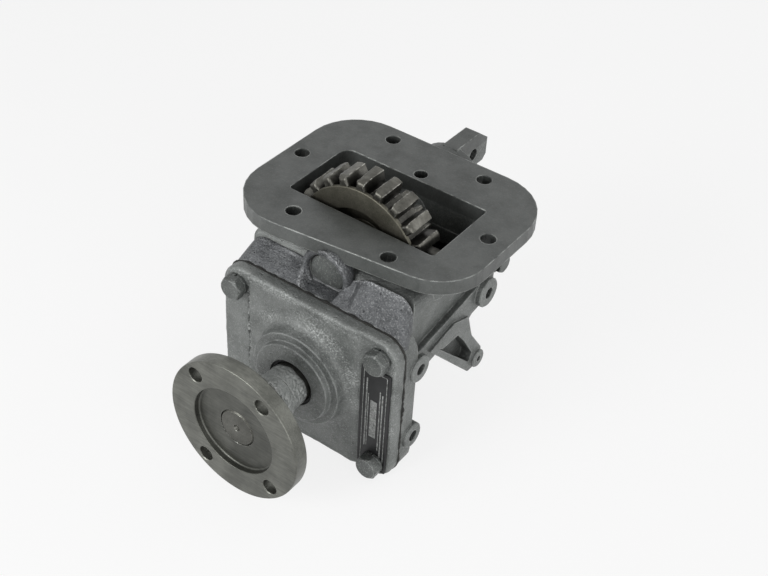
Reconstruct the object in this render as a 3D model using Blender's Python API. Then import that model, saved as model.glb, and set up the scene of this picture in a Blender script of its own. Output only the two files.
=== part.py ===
"""Power take off unit: a cast housing that bolts to the side hatch of a gearbox.

An idler cluster gear on a fixed axle looks out of the window in the mounting
flange.  Its smaller rim drives a gear that slides on the splined output shaft,
moved by a fork on a rail.  The shaft leaves through the front cover and
carries a companion flange.

Working axes: X along the mounting flange, Y along the shafts with the output
flange at -Y, Z up.  The mounting face is z = 0 and x = y = 0 is the centre of
its bolt pattern.  At the end everything is shifted so that the origin is the
middle of the underside.  Lengths are metres.
"""
import math
import bpy
import bmesh
from mathutils import Matrix, Vector

for old in list(bpy.data.objects):
    bpy.data.objects.remove(old, do_unlink=True)

# Clearance between neighbouring pieces
GAP = 0.0003

# Mounting flange
FACE_LEFT = -0.0885
FACE_RIGHT = 0.0920
FACE_BACK = 0.0690
FACE_FRONT_AT_LEFT = -0.0805
FACE_FRONT_AT_RIGHT = -0.0588
FACE_RADII = (0.042, 0.036, 0.042, 0.038)
FACE_THICK = 0.0110
HOLE_ROW_X = 0.0386
HOLE_ROW_Y = 0.0560
HOLE_SIDE_X = 0.0772
HOLE_SIDE_Y = 0.0009
MOUNT_HOLE_D = 0.0110
WINDOW_LEFT = -0.0577
WINDOW_RIGHT = 0.0602
WINDOW_FRONT = -0.0372
WINDOW_BACK = 0.0262
WINDOW_RADII = (0.0025, 0.0030, 0.0025, 0.0080)
OIL_HOLE_X = 0.0015
OIL_HOLE_Y = 0.0331
OIL_HOLE_D = 0.0100

# Gears
IDLER_X = -0.0020
IDLER_Z = -0.0280
BIG_MODULE = 0.0045
BIG_TEETH = 22
BIG_PHASE = math.radians(25.5)
BIG_FRONT = -0.0330
BIG_WIDTH = 0.0230
DRIVE_MODULE = 0.0040
SMALL_TEETH = 16
DRIVEN_TEETH = 18
SMALL_WIDTH = 0.0140
PRESSURE_ANGLE = math.radians(20)
TOOTH_THINNING = 0.00012
FLANK_STEPS = 2
SHIFT_TRAVEL = 0.0160
OUT_X = 0.0

# Body of the housing
BODY_HALF = 0.0660
BODY_SIDE_END = -0.0620
BODY_TOP = -0.0190
BODY_FRONT = -0.0640
LOWER_FRONT = -0.0700
SHOULDER_BACK = 0.0360
REAR_HALF = 0.0580
REAR_TOP = -0.0355
REAR_WALL_FACE = 0.0460
REAR_FACE = 0.0580
WALL = 0.0065
BARREL_WALL = 0.0060
BARREL_CLEAR = 0.0040
NECK_WALL = 0.0080

# Front cover and its joint
HOUSING_FRONT = -0.0790
FRONT_FLANGE_THICK = 0.0130
GASKET_THICK = 0.0008
COVER_THICK = 0.0080
COVER_HALF_X = 0.0730
COVER_HALF_Z = 0.0600
COVER_DROP = 0.0027
COVER_RADIUS = 0.0160
BOLT_INSET = 0.0136
PANEL_LEFT_OF_BOLT = 0.0094
PANEL_RIGHT_OF_BOLT = 0.0154
PANEL_RISE = 0.0015
BOSS_WALL = 0.0050
BOSS_FOOT = 0.0055
BOSS_FACE = -0.1010
RING_WALL = 0.0090
RING_FACE = -0.1055
THROAT_CLEAR = 0.0026

# Hex fasteners: shank diameter, width across flats, head height
COVER_BOLT = (0.0097, 0.0160, 0.0065)
CAP_BOLT = (0.0077, 0.0130, 0.0055)
LOCK_BOLT = (0.0077, 0.0130, 0.0055)
SPRING_WASHER_THICK = 0.0020
SPRING_WASHER_WIDTH = 0.0034

# Data plate
PLATE_LEFT_OF_BOLT = 0.0136
PLATE_WIDTH = 0.0235
PLATE_TOP_BELOW_BOLT = 0.0098
PLATE_END_BELOW_BOLT = 0.0070
PLATE_THICK = 0.0012

# Output shaft and companion flange
FLANGE_FACE = -0.1634
FLANGE_THICK = 0.0110
FLANGE_RECESS_RADIUS = 0.0325
FLANGE_RECESS_DEPTH = 0.0045
FLANGE_HUB_RADIUS = 0.0162
FLANGE_HUB_END = -0.1195
FLANGE_BOLT_CIRCLE = 0.0872
FLANGE_HOLE_D = 0.0110
FLANGE_HOLE_TO_EDGE = 0.0031
FLANGE_HOLE_HALF_ANGLE = math.radians(51.0)
FLANGE_HOLE_TURN = math.radians(5.1)
SHAFT_END_RADIUS = 0.0136
SEAT_RADIUS = 0.0150
COLLAR_RADIUS = 0.0180
WAIST_CLEAR = 0.0022
SPLINE_MAJOR = 0.0140
SPLINE_MINOR = 0.0118
SPLINE_COUNT = 8
SHAFT_END_FACE = -0.1594
REAR_SEAT_RADIUS = 0.0125
CENTRE_HOLE_RADIUS = 0.0026

# Bearings
FRONT_BEARING_RADIUS = 0.0310
FRONT_BEARING_WIDTH = 0.0160
REAR_BEARING_RADIUS = 0.0260
REAR_BEARING_WIDTH = 0.0150
BEARING_BALLS = 8
SEAL_RADIUS = 0.0210
CIRCLIP_THICK = 0.0014
CIRCLIP_GROOVE = 0.0018
BEARING_LIP = 0.0028
SEAL_WIDTH = 0.0045
CAP_RADIUS = 0.0400
CAP_THICK = 0.0070
CAP_BOLT_CIRCLE = 0.0670
CAP_BOLT_REACH = 0.0105

# Idler axle
AXLE_RADIUS = 0.0100
AXLE_FRONT = -0.0600
AXLE_BACK = 0.0740
BUSH_WALL = 0.0030
FRONT_BOSS_RADIUS = 0.0175
FRONT_BOSS_FACE = -0.0655
AXLE_PLUG_RADIUS = 0.0140
INNER_BOSS_RADIUS = 0.0160
REAR_BOSS_RADIUS = 0.0280
REAR_BOSS_FACE = 0.0800
THRUST_THICK = 0.0020
LOCK_BOLT_Y = 0.0620

# Ear behind the rear boss
EAR_LEFT = -0.0080
EAR_RIGHT = 0.0040
EAR_END = 0.1160
EAR_TOP = 0.0
EAR_BOTTOM = -0.0270
EAR_CHAMFER_Y = 0.0120
EAR_CHAMFER_Z = 0.0090
EAR_HOLE_Y = 0.0980
EAR_HOLE_Z = -0.0160
EAR_HOLE_D = 0.0100

# Shift rail and fork
RAIL_X = 0.0380
RAIL_Z = -0.0580
RAIL_RADIUS = 0.0070
RAIL_FRONT = 0.0085
RAIL_END = 0.0980
RAIL_BOSS_RADIUS = 0.0130
RAIL_BOSS_FACE = 0.0680
RAIL_TONGUE = 0.0070
RAIL_EYE_D = 0.0080
FORK_HUB_RADIUS = 0.0115
FORK_THICK = 0.0064
FORK_OUTER = 0.0275
FORK_HALF_SPAN = math.radians(88)
GROOVE_RADIUS = 0.0180
COLLAR_RIM_RADIUS = 0.0220
RAIL_SLOT_DEPTH = 0.0020
STOP_SCREW_Y = 0.0520
STOP_SCREW = (0.0077, 0.0130, 0.0055)
STOP_NOSE_RADIUS = 0.0022
STOP_BOSS_RADIUS = 0.0090
STOP_BOSS_FACE = 0.0600

# Side lugs: radius, centre in Y and Z; all face +X
LUG_FACE = 0.0750
LUG_HOLE_D = 0.0088
LUG_HOLE_DEPTH = 0.0140
UPPER_LUG = (0.0110, 0.0160, -0.0565)
FRONT_LUG = (0.0100, -0.0637, -0.0700)
LOW_FRONT_LUG = (0.0095, -0.0665, -0.1290)
TIP_LUG = (0.0070, 0.0130, -0.1150)
TIP_HOLE_D = 0.0050
STRAP_HALF = 0.0100
STRAP_FACE = 0.0705
ARM_ROOT = 0.0440
ARM_FACE = 0.0725
ARM_RIB = 0.0045
ARM_POCKET = 0.0090

# Drain plug
DRAIN_Y = 0.0280
DRAIN_BOSS_RADIUS = 0.0130
DRAIN_BOSS_RISE = 0.0047
DRAIN_PLUG = (0.0154, 0.0170, 0.0062)
DRAIN_PLUG_LENGTH = 0.0120
DRAIN_WASHER_THICK = 0.0012

# Roundness
FINE = 36
MEDIUM = 20
COARSE = 12

# Places that follow from the sizes above
CENTRE_DISTANCE = DRIVE_MODULE * (SMALL_TEETH + DRIVEN_TEETH) / 2
OUT_Z = IDLER_Z - math.sqrt(CENTRE_DISTANCE ** 2 - (OUT_X - IDLER_X) ** 2)
BIG_TIP = BIG_MODULE * (BIG_TEETH + 2) / 2
SMALL_TIP = DRIVE_MODULE * (SMALL_TEETH + 2) / 2
DRIVEN_TIP = DRIVE_MODULE * (DRIVEN_TEETH + 2) / 2
BIG_BACK = BIG_FRONT + BIG_WIDTH
SMALL_FRONT = BIG_BACK + 0.0010
SMALL_BACK = SMALL_FRONT + SMALL_WIDTH
DRIVEN_FRONT = BIG_BACK + 0.0015
DRIVEN_BACK = SMALL_BACK
GROOVE_FRONT = DRIVEN_BACK + 0.0060
GROOVE_BACK = GROOVE_FRONT + FORK_THICK + 2 * GAP
DRIVEN_END = GROOVE_BACK + 0.0030
WAIST_RADIUS = CENTRE_DISTANCE - BIG_TIP - WAIST_CLEAR
BARREL_INNER = DRIVEN_TIP + BARREL_CLEAR
BARREL_OUTER = BARREL_INNER + BARREL_WALL
COVER_Z = OUT_Z - COVER_DROP
COVER_BACK = HOUSING_FRONT - GASKET_THICK - 2 * GAP
COVER_FRONT = COVER_BACK - COVER_THICK
COVER_BOTTOM = COVER_Z - COVER_HALF_Z
BOLT_X = COVER_HALF_X - BOLT_INSET
BOLT_Z = COVER_HALF_Z - BOLT_INSET
BOSS_RADIUS = FRONT_BEARING_RADIUS + BOSS_WALL
RING_RADIUS = SEAL_RADIUS + RING_WALL
THROAT_RADIUS = SEAT_RADIUS + THROAT_CLEAR
PANEL_LEFT = PANEL_LEFT_OF_BOLT - BOLT_X
PANEL_RIGHT = BOLT_X - PANEL_RIGHT_OF_BOLT
PLATE_LEFT = BOLT_X - PLATE_LEFT_OF_BOLT
FLANGE_RADIUS = FLANGE_BOLT_CIRCLE / 2 + FLANGE_HOLE_D / 2 + FLANGE_HOLE_TO_EDGE
FRONT_BEARING_BACK = COVER_BACK - CIRCLIP_THICK - 4 * GAP
FRONT_BEARING_FRONT = FRONT_BEARING_BACK - FRONT_BEARING_WIDTH
REAR_BEARING_BACK = REAR_FACE - 0.0020
REAR_BEARING_FRONT = REAR_BEARING_BACK - REAR_BEARING_WIDTH
REAR_INNER = REAR_BEARING_FRONT - GAP - BEARING_LIP
SEAL_BACK = FRONT_BEARING_FRONT - 2 * GAP
SEAL_FRONT = SEAL_BACK - SEAL_WIDTH
FRONT_THRUST = BIG_FRONT - GAP - THRUST_THICK
REAR_THRUST = SMALL_BACK + GAP
FRONT_BOSS_INNER = FRONT_THRUST - GAP
INNER_BOSS_FRONT = REAR_THRUST + THRUST_THICK + GAP
BORE_RADIUS = AXLE_RADIUS + 2 * GAP + BUSH_WALL
FORK_FRONT = GROOVE_FRONT + GAP
RAIL_ANGLE = math.atan2(RAIL_Z - OUT_Z, RAIL_X - OUT_X)
DRAIN_BOSS_FACE = OUT_Z - BARREL_OUTER - DRAIN_BOSS_RISE
DRAIN_BOTTOM = DRAIN_BOSS_FACE - DRAIN_PLUG[2] - DRAIN_WASHER_THICK - 2 * GAP
CAP_FRONT = REAR_FACE + GASKET_THICK + 2 * GAP
FRAME_SHIFT = Vector((-(FACE_LEFT + FACE_RIGHT) / 2,
                      -(FLANGE_FACE + EAR_END) / 2,
                      -min(COVER_BOTTOM, DRAIN_BOTTOM)))


def material(name, colour, roughness, metallic):
    """A plain Principled surface."""
    mat = bpy.data.materials.new(name)
    mat.use_nodes = True
    shader = mat.node_tree.nodes["Principled BSDF"]
    shader.inputs["Base Color"].default_value = (*colour, 1.0)
    shader.inputs["Roughness"].default_value = roughness
    shader.inputs["Metallic"].default_value = metallic
    return mat


CAST = material("painted_cast_iron", (0.20, 0.21, 0.22), 0.55, 0.25)
COVER_CAST = material("painted_cover_cast", (0.19, 0.20, 0.21), 0.55, 0.25)
STEEL = material("bare_steel", (0.45, 0.43, 0.41), 0.38, 1.0)
GEAR_STEEL = material("gear_steel", (0.32, 0.31, 0.29), 0.42, 1.0)
BOLT_STEEL = material("bolt_steel", (0.30, 0.30, 0.31), 0.45, 0.9)
BEARING_STEEL = material("bearing_steel", (0.60, 0.60, 0.60), 0.25, 1.0)
BRONZE = material("bush_bronze", (0.55, 0.38, 0.18), 0.40, 1.0)
RUBBER = material("seal_rubber", (0.03, 0.03, 0.03), 0.80, 0.0)
PAPER = material("gasket_paper", (0.10, 0.10, 0.09), 0.90, 0.0)
PLATE_BLACK = material("plate_black", (0.02, 0.02, 0.02), 0.35, 0.0)
COPPER = material("washer_copper", (0.60, 0.32, 0.20), 0.40, 1.0)


def finish(bm, name, mat, smooth_angle=30.0):
    """Turn a bmesh into an object with welded corners and faces turned outward."""
    bmesh.ops.remove_doubles(bm, verts=bm.verts, dist=1e-6)
    bmesh.ops.dissolve_degenerate(bm, edges=bm.edges, dist=1e-6)
    bmesh.ops.recalc_face_normals(bm, faces=bm.faces)
    mesh = bpy.data.meshes.new(name)
    bm.to_mesh(mesh)
    bm.free()
    if mat:
        mesh.materials.append(mat)
    mesh.shade_smooth()
    mesh.set_sharp_from_angle(angle=math.radians(smooth_angle))
    obj = bpy.data.objects.new(name, mesh)
    bpy.context.scene.collection.objects.link(obj)
    return obj


def rounded(corners, radii, steps=6):
    """Closed outline through corners, each replaced by an arc of its radius."""
    points = []
    count = len(corners)
    for i, corner in enumerate(corners):
        here = Vector(corner)
        radius = radii[i] if isinstance(radii, (tuple, list)) else radii
        if radius <= 0:
            points.append(here)
            continue
        to_last = (Vector(corners[i - 1]) - here).normalized()
        to_next = (Vector(corners[(i + 1) % count]) - here).normalized()
        half = math.acos(max(-1.0, min(1.0, to_last.dot(to_next)))) / 2
        centre = here + (to_last + to_next).normalized() * radius / math.sin(half)
        start = here + to_last * radius / math.tan(half) - centre
        turn = math.pi - 2 * half
        side = -1.0 if to_last.cross(to_next) > 0 else 1.0
        for k in range(steps + 1):
            a = side * turn * k / steps
            points.append(centre + Vector((start.x * math.cos(a) - start.y * math.sin(a),
                                           start.x * math.sin(a) + start.y * math.cos(a))))
    return points


def box_corners(u0, u1, v0, v1):
    return [(u0, v0), (u1, v0), (u1, v1), (u0, v1)]


def circle(u, v, radius, steps, start=0.0):
    """Points of a circle in a plane."""
    return [(u + radius * math.cos(start + math.tau * k / steps),
             v + radius * math.sin(start + math.tau * k / steps)) for k in range(steps)]


def lift(axis, u, v, w):
    """Plane coordinates (u, v) and height w along an axis, as a point in space."""
    if axis == "X":
        return Vector((w, u, v))
    if axis == "Y":
        return Vector((u, w, v))
    return Vector((u, v, w))


def prism(name, outline, axis, start, end, mat=None):
    """A flat outline pushed from start to end along an axis."""
    bm = bmesh.new()
    face = bm.faces.new([bm.verts.new(lift(axis, u, v, start)) for u, v in outline])
    grown = bmesh.ops.extrude_face_region(bm, geom=[face])
    moved = [item for item in grown["geom"] if isinstance(item, bmesh.types.BMVert)]
    bmesh.ops.translate(bm, verts=moved, vec=lift(axis, 0, 0, end - start))
    return finish(bm, name, mat)


def turned(name, profile, steps, mat=None, centre=(0.0, 0.0), axis="Y", ring=False,
           first_step=0.0):
    """A profile of (place along the axis, radius) pairs, spun about that axis."""
    bm = bmesh.new()
    verts = [bm.verts.new(lift(axis, radius, 0.0, along)) for along, radius in profile]
    pairs = list(zip(verts, verts[1:]))
    if ring:
        pairs.append((verts[-1], verts[0]))
    edges = [bm.edges.new(pair) for pair in pairs]
    bmesh.ops.spin(bm, geom=verts + edges, cent=(0, 0, 0), axis=lift(axis, 0, 0, 1),
                   dvec=(0, 0, 0), angle=math.tau, steps=steps, use_merge=False,
                   use_duplicate=False)
    bmesh.ops.rotate(bm, verts=bm.verts, cent=(0, 0, 0),
                     matrix=Matrix.Rotation(first_step * math.tau / steps, 3, axis))
    bmesh.ops.translate(bm, verts=bm.verts, vec=lift(axis, centre[0], centre[1], 0))
    return finish(bm, name, mat)


def rod(name, start, end, radius, steps, mat=None, centre=(0.0, 0.0), axis="Y", chamfer=0.0):
    """A round bar with optional chamfered ends."""
    c = chamfer
    profile = [(start, 0.0), (start, radius - c), (start + c, radius),
               (end - c, radius), (end, radius - c), (end, 0.0)]
    if c == 0.0:
        profile = [(start, 0.0), (start, radius), (end, radius), (end, 0.0)]
    return turned(name, profile, steps, mat, centre, axis, first_step=0.37)


def tube(name, start, end, inner, outer, steps, mat=None, centre=(0.0, 0.0), axis="Y"):
    """A plain ring."""
    profile = [(start, inner), (start, outer), (end, outer), (end, inner)]
    return turned(name, profile, steps, mat, centre, axis, ring=True)


def weld_slivers(mesh):
    """Close hairline edges and merge flat faces, as long as the surface stays closed."""
    for weld, flatten in ((True, True), (False, True), (True, False)):
        bm = bmesh.new()
        bm.from_mesh(mesh)
        if weld:
            bmesh.ops.remove_doubles(bm, verts=bm.verts, dist=2e-6)
            bmesh.ops.dissolve_degenerate(bm, edges=bm.edges, dist=2e-6)
        if flatten:
            bmesh.ops.dissolve_limit(bm, angle_limit=math.radians(0.05), verts=bm.verts,
                                     edges=bm.edges)
        closed = all(len(edge.link_faces) == 2 for edge in bm.edges)
        if closed:
            bm.to_mesh(mesh)
        bm.free()
        if closed:
            return


def combine(target, tools, operation, solver="EXACT"):
    """Join or cut a solid by others, then drop the others."""
    for tool in tools:
        step = target.modifiers.new(tool.name, "BOOLEAN")
        step.operation = operation
        step.solver = solver
        step.object = tool
        tool.hide_render = True
        tool.display_type = "WIRE"
    bpy.context.view_layer.update()
    graph = bpy.context.evaluated_depsgraph_get()
    result = bpy.data.meshes.new_from_object(target.evaluated_get(graph))
    target.modifiers.clear()
    target.data = result
    for tool in tools:
        bpy.data.objects.remove(tool, do_unlink=True)
    weld_slivers(result)
    result.shade_smooth()
    result.set_sharp_from_angle(angle=math.radians(30))
    return target


def join(target, *tools):
    return combine(target, tools, "UNION")


def cut(target, *tools):
    return combine(target, tools, "DIFFERENCE")


def gear_outline(module, teeth, phase, tip_trim=0.0, thinning=TOOTH_THINNING, flank_steps=FLANK_STEPS):
    """Outline of an involute gear; phase is the direction of one tooth's middle.

    The same number of points comes back whatever the trim, so that outlines
    of one gear can be lofted into rounded tooth ends.
    """
    pitch = module * teeth / 2
    base = pitch * math.cos(PRESSURE_ANGLE)
    root = pitch - 1.25 * module
    tip = pitch + module - tip_trim
    involute_at_pitch = math.tan(PRESSURE_ANGLE) - PRESSURE_ANGLE
    half_at_pitch = math.pi / (2 * teeth) - thinning / (2 * pitch)

    def half_angle(radius):
        if radius <= base:
            return half_at_pitch + involute_at_pitch + 0.8 * ((base - radius) / base) ** 2
        pressure = math.acos(base / radius)
        return half_at_pitch + involute_at_pitch - (math.tan(pressure) - pressure)

    start = root + min(max(base - root, 0.1 * module), 0.5 * (tip - root))
    flank = [root] + [start + (tip - start) * (k / flank_steps) for k in range(1, flank_steps + 1)]
    points = []
    for tooth in range(teeth):
        middle = phase + math.tau * tooth / teeth
        for radius in flank:
            a = middle - half_angle(radius)
            points.append((radius * math.cos(a), radius * math.sin(a)))
        for radius in reversed(flank):
            a = middle + half_angle(radius)
            points.append((radius * math.cos(a), radius * math.sin(a)))
    return points


def loft(name, sections, mat=None):
    """Join star-shaped outlines of equal point count, each at its own place along Y."""
    bm = bmesh.new()
    loops = [[bm.verts.new(lift("Y", u, v, y)) for u, v in outline] for y, outline in sections]
    for end, loop in ((0, loops[0]), (-1, loops[-1])):
        hub = bm.verts.new(lift("Y", 0.0, 0.0, sections[end][0]))
        for i, corner in enumerate(loop):
            bm.faces.new((hub, corner, loop[(i + 1) % len(loop)]))
    for near, far in zip(loops, loops[1:]):
        for i in range(len(near)):
            j = (i + 1) % len(near)
            bm.faces.new((near[i], near[j], far[j], far[i]))
    bmesh.ops.triangulate(bm, faces=bm.faces)
    return finish(bm, name, mat)


def spline_outline(minor, major, half_width, count):
    """Straight-sided splines round a shaft, or the same shape as a hole."""
    points = []
    for k in range(count):
        middle = math.tau * k / count
        for radius, sign in ((minor, -1), (major, -1), (major, 1), (minor, 1)):
            a = middle + sign * math.asin(half_width / radius)
            points.append((radius * math.cos(a), radius * math.sin(a)))
    return points


def place(obj, x=0.0, y=0.0, z=0.0):
    obj.location = (x, y, z)
    return obj


def ring_holes(radius, count, start):
    return [(radius * math.cos(start + math.tau * k / count),
             radius * math.sin(start + math.tau * k / count)) for k in range(count)]


def barrel_section(half, top, side_end, radius, corner):
    """Square shoulders above, tangent sides, and a round belly about the output axis."""
    reach = math.hypot(half, side_end - OUT_Z)
    touch = math.atan2(side_end - OUT_Z, half) - math.acos(radius / reach)
    upper = rounded([(-half, side_end), (half, side_end), (half, top), (-half, top)],
                    (0, 0, corner, corner))
    belly = []
    steps = 16
    for k in range(steps + 1):
        a = touch + (-math.pi - 2 * touch) * k / steps
        belly.append((OUT_X + radius * math.cos(a), OUT_Z + radius * math.sin(a)))
    # upper runs from left shoulder foot to right foot, up and round; the belly closes it
    return [upper[1]] + list(upper[2:]) + [upper[0]] + belly[::-1]


def hex_bolt(name, size, length, mat, seat=0.0):
    """Hex head bolt: the head stands on -Y of the seat, the shank runs to +Y."""
    shank_d, flats, height = size
    corner = flats / math.sqrt(3)
    head = prism(name, circle(0, 0, corner, 6, math.pi / 6), "Y", seat - height, seat, mat)
    edge = height * 0.16
    dome = turned("dome", [(seat - height - 0.001, 0.0), (seat - height - 0.001, flats * 0.44),
                           (seat - height, flats * 0.46), (seat - height + edge, corner + 0.0002),
                           (seat + 0.001, corner + 0.0002), (seat + 0.001, 0.0)], COARSE)
    combine(head, [dome], "INTERSECT")
    radius = shank_d / 2
    shank = turned("shank", [(seat - height / 2, 0.0), (seat - height / 2, radius),
                             (seat + length - 0.0012, radius),
                             (seat + length, radius - 0.0010), (seat + length, 0.0)], COARSE)
    return join(head, shank)


def along(obj, axis):
    """Turn an object made along Y so that its +Y end points down another axis."""
    turn = {"-X": Matrix.Rotation(math.radians(90), 4, "Z"),
            "+X": Matrix.Rotation(math.radians(-90), 4, "Z"),
            "+Z": Matrix.Rotation(math.radians(90), 4, "X"),
            "-Z": Matrix.Rotation(math.radians(-90), 4, "X")}[axis]
    obj.data.transform(turn)
    return obj


# Housing: solid parts first, then the hollows, then what stands in the hollows
face = rounded([(FACE_LEFT, FACE_FRONT_AT_LEFT), (FACE_RIGHT, FACE_FRONT_AT_RIGHT),
                (FACE_RIGHT, FACE_BACK), (FACE_LEFT, FACE_BACK)], FACE_RADII, 8)
housing = prism("housing", face, "Z", -FACE_THICK, 0.0, CAST)

neck = prism("neck", rounded(box_corners(WINDOW_LEFT - NECK_WALL, WINDOW_RIGHT + NECK_WALL,
                                         WINDOW_FRONT - NECK_WALL, WINDOW_BACK + NECK_WALL),
                             0.010, 5), "Z", BODY_TOP - 0.012, -FACE_THICK / 2)
body = prism("body", barrel_section(BODY_HALF, BODY_TOP, BODY_SIDE_END, BARREL_OUTER, 0.010),
             "Y", LOWER_FRONT, SHOULDER_BACK)
side_view = rounded([(LOWER_FRONT - 0.002, COVER_BOTTOM), (SHOULDER_BACK, COVER_BOTTOM),
                     (SHOULDER_BACK, BODY_TOP), (BODY_FRONT, BODY_TOP),
                     (BODY_FRONT, COVER_Z + COVER_HALF_Z - 0.001),
                     (LOWER_FRONT - 0.002, COVER_Z + COVER_HALF_Z - 0.004)],
                    (0, 0, 0.007, 0.012, 0, 0))
combine(body, [prism("side_view", side_view, "X", -0.1, 0.1)], "INTERSECT")
rear = prism("rear", barrel_section(REAR_HALF, REAR_TOP, BODY_SIDE_END, BARREL_OUTER - 0.0008,
                                    0.012), "Y", SHOULDER_BACK - 0.010, REAR_WALL_FACE)
mouth = prism("mouth", rounded(box_corners(-COVER_HALF_X, COVER_HALF_X, COVER_Z - COVER_HALF_Z,
                                           COVER_Z + COVER_HALF_Z), COVER_RADIUS, 6),
              "Y", HOUSING_FRONT, HOUSING_FRONT + FRONT_FLANGE_THICK)
rear_boss = rod("rear_boss", SHOULDER_BACK - 0.012, REAR_BOSS_FACE, REAR_BOSS_RADIUS, FINE,
                centre=(IDLER_X, IDLER_Z), chamfer=0.002)
bearing_boss = rod("bearing_boss", REAR_WALL_FACE - 0.004, REAR_FACE, CAP_RADIUS + 0.0015, FINE,
                   centre=(OUT_X, OUT_Z))
rail_boss = rod("rail_boss", REAR_WALL_FACE - 0.010, RAIL_BOSS_FACE, RAIL_BOSS_RADIUS, MEDIUM,
                centre=(RAIL_X, RAIL_Z), chamfer=0.001)
stop_boss = rod("stop_boss", RAIL_X, STOP_BOSS_FACE, STOP_BOSS_RADIUS, COARSE,
                centre=(STOP_SCREW_Y, RAIL_Z), axis="X")
axle_screw_boss = rod("axle_screw_boss", IDLER_X - REAR_BOSS_RADIUS - 0.003, IDLER_X - 0.014,
                      0.0090, COARSE, centre=(LOCK_BOLT_Y, IDLER_Z), axis="X")
drain_boss = rod("drain_boss", DRAIN_BOSS_FACE, OUT_Z - BARREL_INNER - 0.001, DRAIN_BOSS_RADIUS,
                 MEDIUM, centre=(OUT_X, DRAIN_Y), axis="Z")
ear = prism("ear", [(REAR_BOSS_FACE - 0.006, EAR_BOTTOM), (EAR_END - 0.004, EAR_BOTTOM),
                    (EAR_END, EAR_BOTTOM + 0.004), (EAR_END, EAR_TOP - EAR_CHAMFER_Z),
                    (EAR_END - EAR_CHAMFER_Y, EAR_TOP), (REAR_BOSS_FACE - 0.006, EAR_TOP)],
            "X", EAR_LEFT, EAR_RIGHT)
join(housing, neck, body, rear, mouth, rear_boss, bearing_boss, rail_boss, stop_boss,
     axle_screw_boss, drain_boss, ear)

lugs = []
for size, depth in ((UPPER_LUG, 0.020), (FRONT_LUG, 0.020), (LOW_FRONT_LUG, 0.036),
                    (TIP_LUG, 0.026)):
    lugs.append(rod("lug", LUG_FACE - depth, LUG_FACE, size[0], MEDIUM,
                    centre=(size[1], size[2]), axis="X", chamfer=0.0008))
along_strap = Vector((UPPER_LUG[1] - FRONT_LUG[1], UPPER_LUG[2] - FRONT_LUG[2])).normalized()
across = Vector((-along_strap.y, along_strap.x)) * STRAP_HALF
strap_start = Vector(FRONT_LUG[1:])
strap_end = Vector(UPPER_LUG[1:])
strap = prism("strap", [strap_start - across, strap_end - across, strap_end + across,
                        strap_start + across], "X", BODY_HALF - 0.010, STRAP_FACE)
arm_outline = [(-0.022, -0.060), (-0.050, -0.066), (0.003, -0.1215), (0.014, -0.1215),
               (0.019, -0.109), (0.003, -0.087), (-0.004, -0.066)]
arm = prism("arm", rounded(arm_outline, (0, 0, 0.004, 0.004, 0.004, 0.010, 0)), "X",
            ARM_ROOT, ARM_FACE)
join(housing, strap, arm, *lugs)

hollow = prism("hollow", barrel_section(BODY_HALF - WALL, BODY_TOP - WALL, BODY_SIDE_END,
                                        BARREL_INNER, 0.006),
               "Y", BODY_FRONT + WALL, WINDOW_BACK - 0.0004)
rear_hollow = prism("rear_hollow", barrel_section(REAR_HALF - WALL, REAR_TOP - WALL,
                                                  BODY_SIDE_END, BARREL_INNER - 0.0008, 0.006),
                    "Y", WINDOW_BACK - 0.006, REAR_INNER)
window = prism("window", rounded(box_corners(WINDOW_LEFT, WINDOW_RIGHT, WINDOW_FRONT,
                                             WINDOW_BACK), WINDOW_RADII),
               "Z", BODY_TOP - WALL - 0.004, 0.001)
front_opening = rod("front_opening", HOUSING_FRONT - 0.001, BODY_FRONT + WALL + 0.002,
                    BARREL_INNER - 0.0004, FINE, centre=(OUT_X, OUT_Z))
cut(housing, hollow, rear_hollow, window, front_opening)

front_boss = rod("front_boss", FRONT_BOSS_FACE, FRONT_BOSS_INNER, FRONT_BOSS_RADIUS, FINE,
                 centre=(IDLER_X, IDLER_Z), chamfer=0.001)
saddle = prism("saddle", [(-0.040, BODY_TOP - 0.004), (0.036, BODY_TOP - 0.004),
                          (0.036, -0.033), (0.014, -0.047), (-0.018, -0.047),
                          (-0.040, -0.033)], "Y", WINDOW_FRONT - NECK_WALL - 0.001,
               WINDOW_FRONT - 0.0005)
inner_boss = rod("inner_boss", INNER_BOSS_FRONT, WINDOW_BACK + 0.004, INNER_BOSS_RADIUS, MEDIUM,
                 centre=(IDLER_X, IDLER_Z))
join(housing, front_boss, saddle, inner_boss)

pocket_arm = prism("pocket_arm", rounded([(-0.0340, -0.0740), (-0.0390, -0.0710),
                                          (0.0035, -0.1130), (0.0065, -0.1060),
                                          (-0.0065, -0.0860), (-0.0160, -0.0745)],
                                         (0, 0, 0.002, 0.003, 0.008, 0)), "X",
                   ARM_FACE - ARM_POCKET, ARM_FACE + 0.001)
holes = [pocket_arm]
for px in (-HOLE_ROW_X, HOLE_ROW_X):
    for py in (-HOLE_ROW_Y, HOLE_ROW_Y):
        holes.append(rod("bolt_hole", -FACE_THICK - 0.004, 0.001, MOUNT_HOLE_D / 2, COARSE,
                         centre=(px, py), axis="Z"))
for px in (-HOLE_SIDE_X, HOLE_SIDE_X):
    holes.append(rod("bolt_hole", -FACE_THICK - 0.004, 0.001, MOUNT_HOLE_D / 2, COARSE,
                     centre=(px, HOLE_SIDE_Y), axis="Z"))
holes.append(turned("oil_hole", [(IDLER_Z + AXLE_RADIUS - 0.002, 0.0),
                                 (IDLER_Z + AXLE_RADIUS - 0.002, 0.0020),
                                 (-0.0125, 0.0020), (-0.0105, OIL_HOLE_D / 2),
                                 (0.001, OIL_HOLE_D / 2), (0.001, 0.0)], COARSE,
                    centre=(OIL_HOLE_X, OIL_HOLE_Y), axis="Z"))
holes.append(rod("axle_bore", AXLE_FRONT - 0.003, AXLE_BACK + GAP, AXLE_RADIUS + GAP, MEDIUM,
                 centre=(IDLER_X, IDLER_Z)))
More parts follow.
